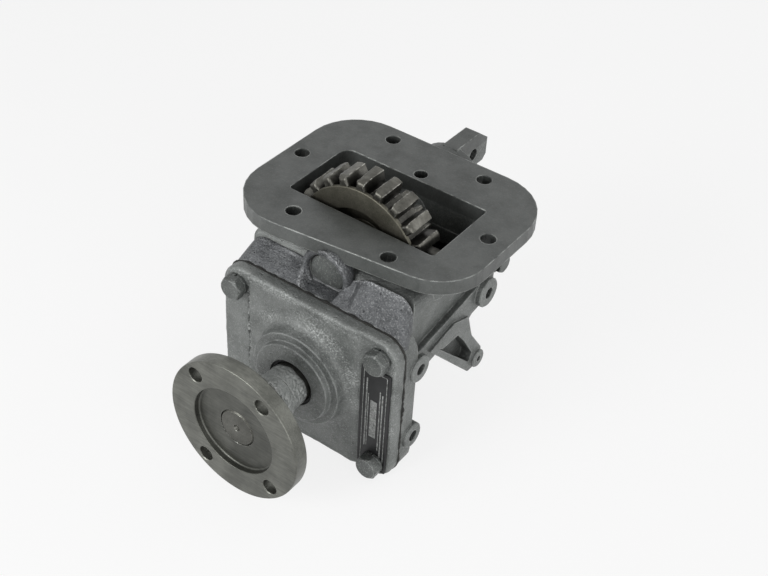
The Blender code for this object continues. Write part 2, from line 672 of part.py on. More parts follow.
holes.append(rod("plug_bore", FRONT_BOSS_FACE - 0.0015, AXLE_FRONT - 0.0022,
                 AXLE_PLUG_RADIUS + GAP, FINE, centre=(IDLER_X, IDLER_Z)))
holes.append(rod("bearing_bore", REAR_BEARING_FRONT - GAP, REAR_FACE + 0.001,
                 REAR_BEARING_RADIUS + GAP, FINE, centre=(OUT_X, OUT_Z)))
holes.append(rod("bearing_lip", REAR_INNER - 0.001, REAR_BEARING_FRONT + 0.001,
                 REAR_BEARING_RADIUS - 0.0055, MEDIUM, centre=(OUT_X, OUT_Z)))
holes.append(rod("rail_bore", REAR_INNER - 0.001, RAIL_BOSS_FACE + 0.001, RAIL_RADIUS + GAP,
                 MEDIUM, centre=(RAIL_X, RAIL_Z)))
holes.append(rod("stop_bore", RAIL_X + RAIL_RADIUS * 0.5, STOP_BOSS_FACE + 0.001,
                 STOP_SCREW[0] / 2 + GAP, COARSE, centre=(STOP_SCREW_Y, RAIL_Z), axis="X"))
holes.append(rod("axle_screw_bore", IDLER_X - REAR_BOSS_RADIUS - 0.004,
                 IDLER_X - AXLE_RADIUS * 0.5, LOCK_BOLT[0] / 2 + GAP, COARSE,
                 centre=(LOCK_BOLT_Y, IDLER_Z), axis="X"))
holes.append(rod("drain_bore", DRAIN_BOSS_FACE - 0.001, OUT_Z - BARREL_INNER + 0.003,
                 DRAIN_PLUG[0] / 2 + GAP, COARSE, centre=(OUT_X, DRAIN_Y), axis="Z"))
holes.append(rod("ear_hole", EAR_LEFT - 0.001, EAR_RIGHT + 0.001, EAR_HOLE_D / 2, COARSE,
                 centre=(EAR_HOLE_Y, EAR_HOLE_Z), axis="X"))
for size, width in ((UPPER_LUG, LUG_HOLE_D), (FRONT_LUG, LUG_HOLE_D),
                    (LOW_FRONT_LUG, LUG_HOLE_D), (TIP_LUG, TIP_HOLE_D)):
    holes.append(rod("lug_hole", LUG_FACE - LUG_HOLE_DEPTH, LUG_FACE + 0.001, width / 2, COARSE,
                     centre=(size[1], size[2]), axis="X"))
bolt_places = [(sx * BOLT_X, COVER_Z + sz * BOLT_Z) for sz in (1, -1) for sx in (-1, 1)]
for px, pz in bolt_places:
    holes.append(rod("cover_thread", HOUSING_FRONT - 0.001,
                     HOUSING_FRONT + FRONT_FLANGE_THICK - 0.0025, COVER_BOLT[0] / 2 + GAP, COARSE,
                     centre=(px, pz)))
cap_places = ring_holes(CAP_BOLT_CIRCLE / 2, 4, math.pi / 4)
for px, pz in cap_places:
    holes.append(rod("cap_thread", REAR_FACE - 0.0120, REAR_FACE + 0.001, CAP_BOLT[0] / 2 + GAP,
                     COARSE, centre=(OUT_X + px, OUT_Z + pz)))
cut(housing, *holes)

# Front cover with its stepped boss
cover_outline = rounded(box_corners(-COVER_HALF_X, COVER_HALF_X, COVER_Z - COVER_HALF_Z,
                                    COVER_Z + COVER_HALF_Z), COVER_RADIUS, 6)
cover = prism("front_cover", cover_outline, "Y", COVER_FRONT, COVER_BACK, COVER_CAST)
panel = prism("panel", rounded(box_corners(PANEL_LEFT, PANEL_RIGHT, COVER_Z - COVER_HALF_Z + 0.003,
                                           COVER_Z + COVER_HALF_Z - 0.003), 0.004),
              "Y", COVER_FRONT - PANEL_RISE, COVER_FRONT + 0.002)
boss_profile = [(COVER_FRONT + 0.002, 0.0), (COVER_FRONT + 0.002, BOSS_RADIUS + BOSS_FOOT),
                (COVER_FRONT - PANEL_RISE, BOSS_RADIUS + BOSS_FOOT - 0.0005)]
for k in range(1, 5):
    a = math.pi / 2 * k / 4
    boss_profile.append((COVER_FRONT - PANEL_RISE - 0.0045 * math.sin(a),
                         BOSS_RADIUS + 0.0005 + 0.0045 * (1 - math.sin(a)) ** 1.2))
boss_profile += [(BOSS_FACE + 0.002, BOSS_RADIUS), (BOSS_FACE + 0.0006, BOSS_RADIUS - 0.0006),
                 (BOSS_FACE, BOSS_RADIUS - 0.0020), (BOSS_FACE, RING_RADIUS + 0.0010),
                 (BOSS_FACE - 0.0010, RING_RADIUS), (RING_FACE + 0.0012, RING_RADIUS),
                 (RING_FACE, RING_RADIUS - 0.0012), (RING_FACE, 0.0)]
boss = turned("boss", boss_profile, FINE, centre=(OUT_X, OUT_Z))
join(cover, panel, boss)
bore_profile = [(RING_FACE - 0.001, 0.0), (RING_FACE - 0.001, THROAT_RADIUS),
                (SEAL_FRONT - GAP, THROAT_RADIUS), (SEAL_FRONT - GAP, SEAL_RADIUS + GAP),
                (FRONT_BEARING_FRONT - GAP, SEAL_RADIUS + GAP),
                (FRONT_BEARING_FRONT - GAP, FRONT_BEARING_RADIUS + GAP),
                (FRONT_BEARING_BACK + GAP, FRONT_BEARING_RADIUS + GAP),
                (FRONT_BEARING_BACK + GAP, FRONT_BEARING_RADIUS + CIRCLIP_GROOVE + GAP),
                (FRONT_BEARING_BACK + CIRCLIP_THICK + 3 * GAP,
                 FRONT_BEARING_RADIUS + CIRCLIP_GROOVE + GAP),
                (FRONT_BEARING_BACK + CIRCLIP_THICK + 3 * GAP, FRONT_BEARING_RADIUS + GAP),
                (COVER_BACK + 0.001, FRONT_BEARING_RADIUS + GAP), (COVER_BACK + 0.001, 0.0)]
cover_cuts = [turned("cover_bore", bore_profile, FINE, centre=(OUT_X, OUT_Z))]
for px, pz in bolt_places:
    cover_cuts.append(rod("cover_hole", COVER_FRONT - 0.002, COVER_BACK + 0.001,
                          COVER_BOLT[0] / 2 + GAP, COARSE, centre=(px, pz)))
cut(cover, *cover_cuts)

gasket = prism("cover_gasket", rounded(box_corners(-COVER_HALF_X + GAP, COVER_HALF_X - GAP,
                                                   COVER_Z - COVER_HALF_Z + GAP,
                                                   COVER_Z + COVER_HALF_Z - GAP),
                                       COVER_RADIUS, 6),
               "Y", COVER_BACK + GAP, HOUSING_FRONT - GAP, PAPER)
gasket_cuts = [rod("gasket_opening", COVER_BACK - 0.001, HOUSING_FRONT + 0.001, BARREL_INNER,
                   FINE, centre=(OUT_X, OUT_Z))]
for px, pz in bolt_places:
    gasket_cuts.append(rod("gasket_hole", COVER_BACK - 0.001, HOUSING_FRONT + 0.001,
                           COVER_BOLT[0] / 2 + GAP, COARSE, centre=(px, pz)))
cut(gasket, *gasket_cuts)

# Data plate, held by the lower right bolt
upper_bolt_z = COVER_Z + BOLT_Z
lower_bolt_z = COVER_Z - BOLT_Z
plate = prism("data_plate", rounded(box_corners(PLATE_LEFT, PLATE_LEFT + PLATE_WIDTH,
                                                lower_bolt_z - PLATE_END_BELOW_BOLT,
                                                upper_bolt_z - PLATE_TOP_BELOW_BOLT),
                                    0.0015, 3),
              "Y", COVER_FRONT - GAP - PLATE_THICK, COVER_FRONT - GAP, PLATE_BLACK)
cut(plate, rod("plate_hole", COVER_FRONT - 0.004, COVER_FRONT + 0.001, COVER_BOLT[0] / 2 + GAP,
               COARSE, centre=(BOLT_X, lower_bolt_z)),
    rod("boss_relief", COVER_FRONT - 0.004, COVER_FRONT + 0.001, BOSS_RADIUS + BOSS_FOOT + GAP,
        FINE, centre=(OUT_X, OUT_Z)))

# Cover bolts on split spring washers
for number, (px, pz) in enumerate(bolt_places, 1):
    over_plate = px > 0 and pz < COVER_Z
    seat = COVER_FRONT - GAP - (PLATE_THICK + GAP if over_plate else 0.0)
    washer = tube("spring_washer_%d" % number, seat - SPRING_WASHER_THICK, seat,
                  COVER_BOLT[0] / 2 + GAP, COVER_BOLT[0] / 2 + GAP + SPRING_WASHER_WIDTH,
                  COARSE, BOLT_STEEL)
    split = prism("split", box_corners(-0.0006, 0.0006, 0.0, 0.020), "Y", seat - 0.01,
                  seat + 0.01)
    cut(washer, split)
    place(washer, px, 0.0, pz)
    seat -= SPRING_WASHER_THICK + GAP
    tip = HOUSING_FRONT + FRONT_FLANGE_THICK - 0.0025 - GAP
    bolt = hex_bolt("cover_bolt_%d" % number, COVER_BOLT, tip - seat, BOLT_STEEL, seat)
    bolt.data.transform(Matrix.Rotation(math.radians(17 * number), 4, "Y"))
    place(bolt, px, 0.0, pz)

# Seal and front bearing
turned("shaft_seal", [(SEAL_BACK, SEAL_RADIUS), (SEAL_FRONT, SEAL_RADIUS),
                      (SEAL_FRONT, SEAT_RADIUS + 0.0010),
                      (SEAL_FRONT + 0.0008, SEAT_RADIUS + GAP),
                      (SEAL_FRONT + 0.0020, SEAT_RADIUS + GAP),
                      (SEAL_FRONT + 0.0030, SEAT_RADIUS + 0.0030),
                      (SEAL_BACK, SEAT_RADIUS + 0.0036)], FINE, RUBBER,
       centre=(OUT_X, OUT_Z), ring=True)


def bearing(prefix, seat, outer, width, front):
    """A deep-groove ball bearing: outer ring, inner ring, and balls in their cage."""
    bore = seat + GAP
    back = front + width
    middle = (front + back) / 2
    ball = (outer - bore) * 0.27
    pitch = (outer + bore) / 2
    rim = (outer - bore) * 0.28
    groove = ball + GAP
    for name, land, face_radius, side in (("outer", outer, outer - rim, 1.0),
                                          ("inner", bore, bore + rim, -1.0)):
        half = math.acos(side * (face_radius - pitch) / groove)
        arc = []
        for k in range(5):
            a = -half + 2 * half * k / 4
            arc.append((middle + groove * math.sin(a), pitch + side * groove * math.cos(a)))
        profile = [(front, land), (front, face_radius)] + arc + [(back, face_radius), (back, land)]
        place(turned("%s_bearing_%s" % (prefix, name), profile, MEDIUM, BEARING_STEEL,
                     ring=True), OUT_X, 0.0, OUT_Z)
    cage = tube("%s_bearing_balls" % prefix, middle - ball * 0.8, middle + ball * 0.8,
                pitch - 0.0009, pitch + 0.0009, MEDIUM, BEARING_STEEL)
    spheres = []
    for px, pz in ring_holes(pitch, BEARING_BALLS, 0.2):
        bm = bmesh.new()
        bmesh.ops.create_uvsphere(bm, u_segments=6, v_segments=4, radius=ball,
                                  matrix=Matrix.Translation((px, middle, pz)))
        spheres.append(finish(bm, "ball", None))
    join(cage, *spheres)
    return place(cage, OUT_X, 0.0, OUT_Z)


bearing("front", SEAT_RADIUS, FRONT_BEARING_RADIUS, FRONT_BEARING_WIDTH, FRONT_BEARING_FRONT)
bearing("rear", REAR_SEAT_RADIUS, REAR_BEARING_RADIUS, REAR_BEARING_WIDTH, REAR_BEARING_FRONT)

circlip = tube("bearing_circlip", FRONT_BEARING_BACK + 2 * GAP,
               FRONT_BEARING_BACK + 2 * GAP + CIRCLIP_THICK, FRONT_BEARING_RADIUS - 0.0025,
               FRONT_BEARING_RADIUS + CIRCLIP_GROOVE, FINE, BEARING_STEEL, centre=(OUT_X, OUT_Z))
cut(circlip, prism("clip_gap", box_corners(OUT_X - 0.006, OUT_X + 0.006, OUT_Z, OUT_Z + 0.05),
                   "Y", FRONT_BEARING_BACK - 0.01, FRONT_BEARING_BACK + 0.01))

# Output shaft: tapped for a centre at the front, splined for the sliding gear
shaft_back = CAP_FRONT + 0.0006
collar_front = FRONT_BEARING_BACK + GAP
spline_start = BIG_BACK + 0.0008
spline_end = REAR_BEARING_FRONT - GAP
clip_front = REAR_BEARING_BACK + GAP
shaft_profile = [(SHAFT_END_FACE + 0.0060, 0.0), (SHAFT_END_FACE + 0.0042, CENTRE_HOLE_RADIUS * 0.5),
                 (SHAFT_END_FACE + 0.0022, CENTRE_HOLE_RADIUS * 0.5),
                 (SHAFT_END_FACE, CENTRE_HOLE_RADIUS), (SHAFT_END_FACE, SHAFT_END_RADIUS - 0.0010),
                 (SHAFT_END_FACE + 0.0010, SHAFT_END_RADIUS),
                 (FLANGE_HUB_END - GAP, SHAFT_END_RADIUS),
                 (FLANGE_HUB_END + GAP, SHAFT_END_RADIUS),
                 (FLANGE_HUB_END + GAP, SEAT_RADIUS - 0.0004),
                 (FLANGE_HUB_END + GAP + 0.0004, SEAT_RADIUS),
                 (collar_front, SEAT_RADIUS), (collar_front, COLLAR_RADIUS),
                 (collar_front + 0.0050, COLLAR_RADIUS),
                 (collar_front + 0.0060, SPLINE_MAJOR), (BIG_FRONT - 0.0060, SPLINE_MAJOR),
                 (BIG_FRONT - 0.0035, WAIST_RADIUS), (spline_start + 0.001, WAIST_RADIUS),
                 (spline_end - 0.001, WAIST_RADIUS), (spline_end - 0.001, SPLINE_MINOR - 0.0004),
                 (spline_end, SPLINE_MINOR - 0.0004), (spline_end, REAR_SEAT_RADIUS),
                 (clip_front, REAR_SEAT_RADIUS), (clip_front, REAR_SEAT_RADIUS - 0.0012),
                 (clip_front + CIRCLIP_THICK + 2 * GAP, REAR_SEAT_RADIUS - 0.0012),
                 (clip_front + CIRCLIP_THICK + 2 * GAP, REAR_SEAT_RADIUS),
                 (shaft_back - 0.0006, REAR_SEAT_RADIUS), (shaft_back, REAR_SEAT_RADIUS - 0.0006),
                 (shaft_back, 0.0)]
spline_half = 0.0026
shaft = turned("output_shaft", shaft_profile, FINE, STEEL)
join(shaft, prism("splines", spline_outline(SPLINE_MINOR, SPLINE_MAJOR, spline_half,
                                            SPLINE_COUNT), "Y", spline_start, spline_end))
key_half = 0.0040
key_front = FLANGE_FACE + FLANGE_THICK + 0.006
key_back = FLANGE_HUB_END - 0.004
key_floor = SHAFT_END_RADIUS - 0.0030
key_top = SHAFT_END_RADIUS + 0.0012
cut(shaft, prism("key_slot", rounded(box_corners(-key_half - GAP, key_half + GAP,
                                                 key_front - GAP, key_back + GAP), key_half),
                 "Z", key_floor - GAP, SHAFT_END_RADIUS + 0.002))
key = prism("flange_key", rounded(box_corners(-key_half, key_half, key_front, key_back),
                                  key_half), "Z", key_floor, key_top, STEEL)
place(shaft, OUT_X, 0.0, OUT_Z)
place(key, OUT_X, 0.0, OUT_Z)

shaft_clip = tube("shaft_circlip", clip_front + GAP, clip_front + GAP + CIRCLIP_THICK,
                  REAR_SEAT_RADIUS - 0.0009, REAR_SEAT_RADIUS + 0.0022, MEDIUM, BEARING_STEEL)
cut(shaft_clip, prism("clip_gap", box_corners(-0.0035, 0.0035, 0.0, 0.03), "Y",
                      clip_front - 0.01, clip_front + 0.01))
place(shaft_clip, OUT_X, 0.0, OUT_Z)

# Companion flange
flange_back = FLANGE_FACE + FLANGE_THICK
recess_floor = FLANGE_FACE + FLANGE_RECESS_DEPTH
flange_profile = [(recess_floor, SHAFT_END_RADIUS + GAP), (recess_floor, FLANGE_RECESS_RADIUS - 0.0008),
                  (recess_floor - 0.0008, FLANGE_RECESS_RADIUS),
                  (FLANGE_FACE + 0.0006, FLANGE_RECESS_RADIUS),
                  (FLANGE_FACE, FLANGE_RECESS_RADIUS + 0.0006),
                  (FLANGE_FACE, FLANGE_RADIUS - 0.0010), (FLANGE_FACE + 0.0010, FLANGE_RADIUS),
                  (flange_back - 0.0008, FLANGE_RADIUS), (flange_back, FLANGE_RADIUS - 0.0008),
                  (flange_back, 0.0300), (flange_back + 0.0006, 0.0230),
                  (flange_back + 0.0022, 0.0186), (flange_back + 0.0050, FLANGE_HUB_RADIUS),
                  (FLANGE_HUB_END - 0.0012, FLANGE_HUB_RADIUS),
                  (FLANGE_HUB_END, FLANGE_HUB_RADIUS - 0.0008),
                  (FLANGE_HUB_END, SHAFT_END_RADIUS + GAP)]
flange = turned("companion_flange", flange_profile, FINE, STEEL, ring=True)
flange_cuts = []
for half in (1, -1):
    for side in (0.0, math.pi):
        a = side + half * FLANGE_HOLE_HALF_ANGLE + FLANGE_HOLE_TURN
        flange_cuts.append(rod("flange_hole", FLANGE_FACE - 0.001, flange_back + 0.001,
                               FLANGE_HOLE_D / 2, COARSE,
                               centre=(FLANGE_BOLT_CIRCLE / 2 * math.cos(a),
                                       FLANGE_BOLT_CIRCLE / 2 * math.sin(a))))
flange_cuts.append(prism("key_way", box_corners(-key_half - GAP, key_half + GAP,
                                                recess_floor + 0.004, FLANGE_HUB_END + 0.001),
                         "Z", SHAFT_END_RADIUS - 0.002, key_top + GAP))
cut(flange, *flange_cuts)
place(flange, OUT_X, 0.0, OUT_Z)

# Idler cluster: the big rim in the window and the small rim behind it
rim_sections = [(BIG_FRONT + 0.0012, 0.0075), (BIG_FRONT + 0.0029, 0.0036),
                (BIG_FRONT + 0.0046, 0.0015), (BIG_FRONT + 0.0072, 0.0),
                (BIG_BACK, 0.0)]
idler = loft("idler_gear", [(y, gear_outline(BIG_MODULE, BIG_TEETH, BIG_PHASE, trim))
                            for y, trim in rim_sections], GEAR_STEEL)
face_disc = rod("face_disc", BIG_FRONT, BIG_FRONT + 0.0025, BIG_TIP - 0.0065, FINE,
                chamfer=0.0008)
to_output = math.atan2(OUT_Z - IDLER_Z, OUT_X - IDLER_X)
small_sections = [(BIG_BACK - 0.0020, 0.0085), (SMALL_FRONT - 0.0005, 0.0085),
                  (SMALL_FRONT, 0.0), (SMALL_BACK, 0.0)]
small = loft("small_rim", [(y, gear_outline(DRIVE_MODULE, SMALL_TEETH, to_output, trim))
                           for y, trim in small_sections])
combine(idler, [face_disc, small], "UNION", "MANIFOLD")
idler_bore = rod("idler_bore", BIG_FRONT - 0.001, SMALL_BACK + 0.001, BORE_RADIUS + GAP, MEDIUM)
face_recess = tube("face_recess", BIG_FRONT - 0.001, BIG_FRONT + 0.0080,
                   INNER_BOSS_RADIUS + 0.0030, 0.0310, FINE)
combine(idler, [idler_bore, face_recess], "DIFFERENCE", "MANIFOLD")
place(idler, IDLER_X, 0.0, IDLER_Z)

bush_split = (BIG_FRONT + SMALL_BACK) / 2
for name, start, end in (("bush_front", BIG_FRONT + 0.0004, bush_split - 0.001),
                         ("bush_rear", bush_split + 0.001, SMALL_BACK - 0.0004)):
    place(tube(name, start, end, AXLE_RADIUS + GAP, BORE_RADIUS, MEDIUM, BRONZE),
          IDLER_X, 0.0, IDLER_Z)
for name, start in (("thrust_washer_front", FRONT_THRUST), ("thrust_washer_rear", REAR_THRUST)):
    tube(name, start, start + THRUST_THICK, AXLE_RADIUS + GAP, INNER_BOSS_RADIUS - 0.0005,
         MEDIUM, BRONZE, centre=(IDLER_X, IDLER_Z))

axle = rod("idler_axle", AXLE_FRONT, AXLE_BACK, AXLE_RADIUS, MEDIUM, STEEL,
           centre=(IDLER_X, IDLER_Z), chamfer=0.0010)
cut(axle, rod("axle_spot", IDLER_X - AXLE_RADIUS - 0.001, IDLER_X - AXLE_RADIUS + 0.0025,
              LOCK_BOLT[0] / 2 + GAP, COARSE, centre=(LOCK_BOLT_Y, IDLER_Z), axis="X"))
dome_profile = [(AXLE_FRONT - 0.0022 - GAP, 0.0), (AXLE_FRONT - 0.0022 - GAP, AXLE_PLUG_RADIUS)]
plug_face = FRONT_BOSS_FACE - 0.0002
dome_profile.append((plug_face + 0.0006, AXLE_PLUG_RADIUS))
for k in range(4):
    r = AXLE_PLUG_RADIUS * (0.93 - 0.31 * k)
    dome_profile.append((plug_face - 0.0008 * (1 - (r / AXLE_PLUG_RADIUS) ** 2), max(r, 0.0)))
turned("axle_plug", dome_profile, FINE, STEEL, centre=(IDLER_X, IDLER_Z))
lock_seat = IDLER_X - REAR_BOSS_RADIUS - 0.003 - GAP
lock = hex_bolt("axle_lock_bolt", LOCK_BOLT, IDLER_X - AXLE_RADIUS + 0.0022 - lock_seat,
                BOLT_STEEL)
along(lock, "+X")
place(lock, lock_seat, LOCK_BOLT_Y, IDLER_Z)

# Driven gear with its fork groove
tooth_gap = math.pi / DRIVEN_TEETH
driven_phase = to_output + math.pi + tooth_gap
driven_sections = [(DRIVEN_FRONT, 0.0),
                   (DRIVEN_BACK - 0.0020, 0.0), (DRIVEN_BACK, 0.0020)]
driven = loft("driven_gear", [(y, gear_outline(DRIVE_MODULE, DRIVEN_TEETH, driven_phase, trim))
                              for y, trim in driven_sections], GEAR_STEEL)
hub_profile = [(DRIVEN_BACK - 0.002, 0.0), (DRIVEN_BACK - 0.002, COLLAR_RIM_RADIUS),
               (GROOVE_FRONT, COLLAR_RIM_RADIUS), (GROOVE_FRONT, GROOVE_RADIUS),
               (GROOVE_BACK, GROOVE_RADIUS), (GROOVE_BACK, COLLAR_RIM_RADIUS),
               (DRIVEN_END - 0.0006, COLLAR_RIM_RADIUS),
               (DRIVEN_END, COLLAR_RIM_RADIUS - 0.0006), (DRIVEN_END, 0.0)]
join(driven, turned("driven_hub", hub_profile, FINE))
cut(driven, prism("spline_bore", spline_outline(SPLINE_MINOR + GAP, SPLINE_MAJOR + GAP,
                                                spline_half + GAP, SPLINE_COUNT),
                  "Y", DRIVEN_FRONT - 0.001, DRIVEN_END + 0.001))
place(driven, OUT_X, 0.0, OUT_Z)

# Shift fork on its rail
fork_outline = []
for k in range(25):
    a = RAIL_ANGLE - FORK_HALF_SPAN + 2 * FORK_HALF_SPAN * k / 24
    fork_outline.append((OUT_X + FORK_OUTER * math.cos(a), OUT_Z + FORK_OUTER * math.sin(a)))
for k in range(25):
    a = RAIL_ANGLE + FORK_HALF_SPAN - 2 * FORK_HALF_SPAN * k / 24
    fork_outline.append((OUT_X + (GROOVE_RADIUS + 2 * GAP) * math.cos(a),
                         OUT_Z + (GROOVE_RADIUS + 2 * GAP) * math.sin(a)))
fork = prism("shift_fork", fork_outline, "Y", FORK_FRONT, FORK_FRONT + FORK_THICK, CAST)
toward = Vector((math.cos(RAIL_ANGLE), math.sin(RAIL_ANGLE)))
sideways = Vector((-toward.y, toward.x))
out_point = Vector((OUT_X, OUT_Z))
rail_point = Vector((RAIL_X, RAIL_Z))
arm_points = [out_point + toward * 0.0230 - sideways * 0.0125,
              rail_point - sideways * (FORK_HUB_RADIUS - 0.001),
              rail_point + sideways * (FORK_HUB_RADIUS - 0.001),
              out_point + toward * 0.0230 + sideways * 0.0125]
fork_arm = prism("fork_arm", arm_points, "Y", FORK_FRONT + 0.0004, FORK_FRONT + FORK_THICK - 0.0004)
fork_hub = rod("fork_hub", FORK_FRONT - 0.0015, FORK_FRONT + FORK_THICK + 0.0020,
               FORK_HUB_RADIUS, MEDIUM, centre=(RAIL_X, RAIL_Z), chamfer=0.0006)
join(fork, fork_arm, fork_hub)
screw_y = FORK_FRONT + FORK_THICK / 2
cut(fork, rod("fork_bore", FORK_FRONT - 0.01, FORK_FRONT + 0.02, RAIL_RADIUS + GAP, MEDIUM,
              centre=(RAIL_X, RAIL_Z)),
    rod("fork_screw_bore", RAIL_Z, RAIL_Z + FORK_HUB_RADIUS + 0.002, 0.0026, COARSE,
        centre=(RAIL_X, screw_y), axis="Z"))
fork_screw = rod("fork_lock_screw", RAIL_Z + RAIL_RADIUS + GAP, RAIL_Z + FORK_HUB_RADIUS - 0.0004,
                 0.0023, COARSE, BOLT_STEEL, centre=(RAIL_X, screw_y), axis="Z", chamfer=0.0003)
cut(fork_screw, prism("screw_socket", circle(RAIL_X, screw_y, 0.0012, 6), "Z",
                      RAIL_Z + FORK_HUB_RADIUS - 0.0022, RAIL_Z + FORK_HUB_RADIUS + 0.001))

rail = rod("shift_rail", RAIL_FRONT, RAIL_END, RAIL_RADIUS, MEDIUM, STEEL,
           centre=(RAIL_X, RAIL_Z), chamfer=0.0010)
slot_reach = STOP_NOSE_RADIUS + 2 * GAP
rail_cuts = [prism("rail_slot", rounded(box_corners(STOP_SCREW_Y - SHIFT_TRAVEL - slot_reach,
                                                    STOP_SCREW_Y + slot_reach,
                                                    RAIL_Z - slot_reach, RAIL_Z + slot_reach),
                                        slot_reach * 0.99),
                   "X", RAIL_X + RAIL_RADIUS - RAIL_SLOT_DEPTH, RAIL_X + RAIL_RADIUS + 0.002)]
for side in (-1, 1):
    near = RAIL_X + side * RAIL_TONGUE / 2
    far = RAIL_X + side * (RAIL_RADIUS + 0.002)
    rail_cuts.append(prism("tongue_flat", box_corners(min(near, far), max(near, far),
                                                      RAIL_END - 0.0150, RAIL_END + 0.001),
                           "Z", RAIL_Z - 0.010, RAIL_Z + 0.010))
rail_cuts.append(rod("eye", RAIL_X - 0.010, RAIL_X + 0.010, RAIL_EYE_D / 2, COARSE,
                     centre=(RAIL_END - 0.0075, RAIL_Z), axis="X"))
cut(rail, *rail_cuts)

stop = hex_bolt("rail_stop_screw", STOP_SCREW, STOP_BOSS_FACE - RAIL_X - RAIL_RADIUS - 0.0006,
                BOLT_STEEL)
nose = rod("nose", 0.006, STOP_BOSS_FACE + GAP - RAIL_X - RAIL_RADIUS + RAIL_SLOT_DEPTH - 0.0005,
           STOP_NOSE_RADIUS, COARSE)
join(stop, nose)
along(stop, "-X")
place(stop, STOP_BOSS_FACE + GAP, STOP_SCREW_Y, RAIL_Z)

# Rear bearing cap
cap_gasket = tube("cap_gasket", REAR_FACE + GAP, CAP_FRONT - GAP, REAR_BEARING_RADIUS + 0.0008,
                  CAP_RADIUS - GAP, FINE, PAPER, centre=(OUT_X, OUT_Z))
cap_back = CAP_FRONT + CAP_THICK
cap_profile = [(CAP_FRONT, 0.0200), (CAP_FRONT, CAP_RADIUS), (cap_back - 0.001, CAP_RADIUS),
               (cap_back, CAP_RADIUS - 0.001), (cap_back, 0.0230), (cap_back + 0.0030, 0.0210),
               (cap_back + 0.0034, 0.0196), (cap_back + 0.0034, 0.0),
               (cap_back - 0.0020, 0.0), (cap_back - 0.0020, 0.0185)]
cap = turned("rear_bearing_cap", cap_profile[:-2] + [(cap_back - 0.0020, 0.0),
                                                     (cap_back - 0.0020, 0.0185)],
             FINE, COVER_CAST, centre=(OUT_X, OUT_Z), ring=True)
cap_cuts = []
gasket_cuts = []
for px, pz in cap_places:
    where = (OUT_X + px, OUT_Z + pz)
    cap_cuts.append(rod("cap_hole", CAP_FRONT - 0.001, cap_back + 0.001, CAP_BOLT[0] / 2 + GAP,
                        COARSE, centre=where))
    gasket_cuts.append(rod("cap_gasket_hole", REAR_FACE - 0.001, CAP_FRONT + 0.001,
                           CAP_BOLT[0] / 2 + GAP, COARSE, centre=where))
cut(cap, *cap_cuts)
cut(cap_gasket, *gasket_cuts)
for number, (px, pz) in enumerate(cap_places, 1):
    bolt = hex_bolt("cap_bolt_%d" % number, CAP_BOLT, CAP_THICK + GASKET_THICK + CAP_BOLT_REACH,
                    BOLT_STEEL)
    bolt.data.transform(Matrix.Rotation(math.pi, 4, "X"))
    bolt.data.transform(Matrix.Rotation(math.radians(11 * number), 4, "Y"))
    place(bolt, OUT_X + px, cap_back + GAP, OUT_Z + pz)

# Drain plug under the barrel
drain_washer = tube("drain_washer", DRAIN_BOSS_FACE - GAP - DRAIN_WASHER_THICK,
                    DRAIN_BOSS_FACE - GAP, DRAIN_PLUG[0] / 2 + GAP, DRAIN_PLUG[0] / 2 + 0.0028,
                    COARSE, COPPER, centre=(OUT_X, DRAIN_Y), axis="Z")
drain = hex_bolt("drain_plug", DRAIN_PLUG, DRAIN_PLUG_LENGTH, BOLT_STEEL)
along(drain, "+Z")
place(drain, OUT_X, DRAIN_Y, DRAIN_BOTTOM + DRAIN_PLUG[2])

# Carry everything to the shared frame
for obj in list(bpy.data.objects):
    if obj.parent is None:
        obj.location = obj.location + FRAME_SHIFT
bpy.context.view_layer.update()
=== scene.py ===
"""Power take off unit, dressed: sand-cast grey housing, worn idler gear, turned flange.

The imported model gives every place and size; this script gives the surfaces
their casting skin, machining marks and wear, and rounds what the model leaves
faceted.  Lengths are metres.
"""

import math

import bmesh
import bpy
import numpy as np
from mathutils import Matrix, Vector


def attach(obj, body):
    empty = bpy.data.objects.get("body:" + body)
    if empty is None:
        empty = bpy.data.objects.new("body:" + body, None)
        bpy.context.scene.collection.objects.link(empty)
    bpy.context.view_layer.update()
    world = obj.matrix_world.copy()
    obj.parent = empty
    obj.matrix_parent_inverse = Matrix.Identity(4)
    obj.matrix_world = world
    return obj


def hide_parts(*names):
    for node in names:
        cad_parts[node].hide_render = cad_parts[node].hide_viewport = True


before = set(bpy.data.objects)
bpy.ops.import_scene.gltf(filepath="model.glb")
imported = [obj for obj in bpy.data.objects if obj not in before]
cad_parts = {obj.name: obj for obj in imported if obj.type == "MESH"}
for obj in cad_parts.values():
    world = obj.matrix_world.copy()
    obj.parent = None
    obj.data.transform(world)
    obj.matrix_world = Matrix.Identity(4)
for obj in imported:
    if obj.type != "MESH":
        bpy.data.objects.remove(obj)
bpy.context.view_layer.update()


# Materials: the small functions that build their node trees
def linear(code):
    """An sRGB hex colour turned linear: c/12.92 below 0.04045, else ((c+0.055)/1.055)^2.4."""
    parts = np.array([int(code[i:i + 2], 16) for i in (1, 3, 5)]) / 255.0
    parts = np.where(parts <= 0.04045, parts / 12.92, ((parts + 0.055) / 1.055) ** 2.4)
    return (*parts.tolist(), 1.0)


def add(tree, kind, inputs=None, **settings):
    """Add one node: settings first, then each input gets a socket's link or a value."""
    made = tree.nodes.new(kind)
    for key, value in settings.items():
        setattr(made, key, value)
    for key, given in (inputs or {}).items():
        if isinstance(given, bpy.types.NodeSocket):
            tree.links.new(given, made.inputs[key])
        else:
            made.inputs[key].default_value = given
    return made


def surface(name, metallic=0.0, roughness=0.5):
    """A new material with only its Principled shader, and the object's own coordinates."""
    mat = bpy.data.materials.new(name)
    mat.use_nodes = True
    tree = mat.node_tree
    shader = tree.nodes["Principled BSDF"]
    shader.inputs["Metallic"].default_value = metallic
    shader.inputs["Roughness"].default_value = roughness
    where = add(tree, "ShaderNodeTexCoord").outputs["Object"]
    return mat, tree, shader, where


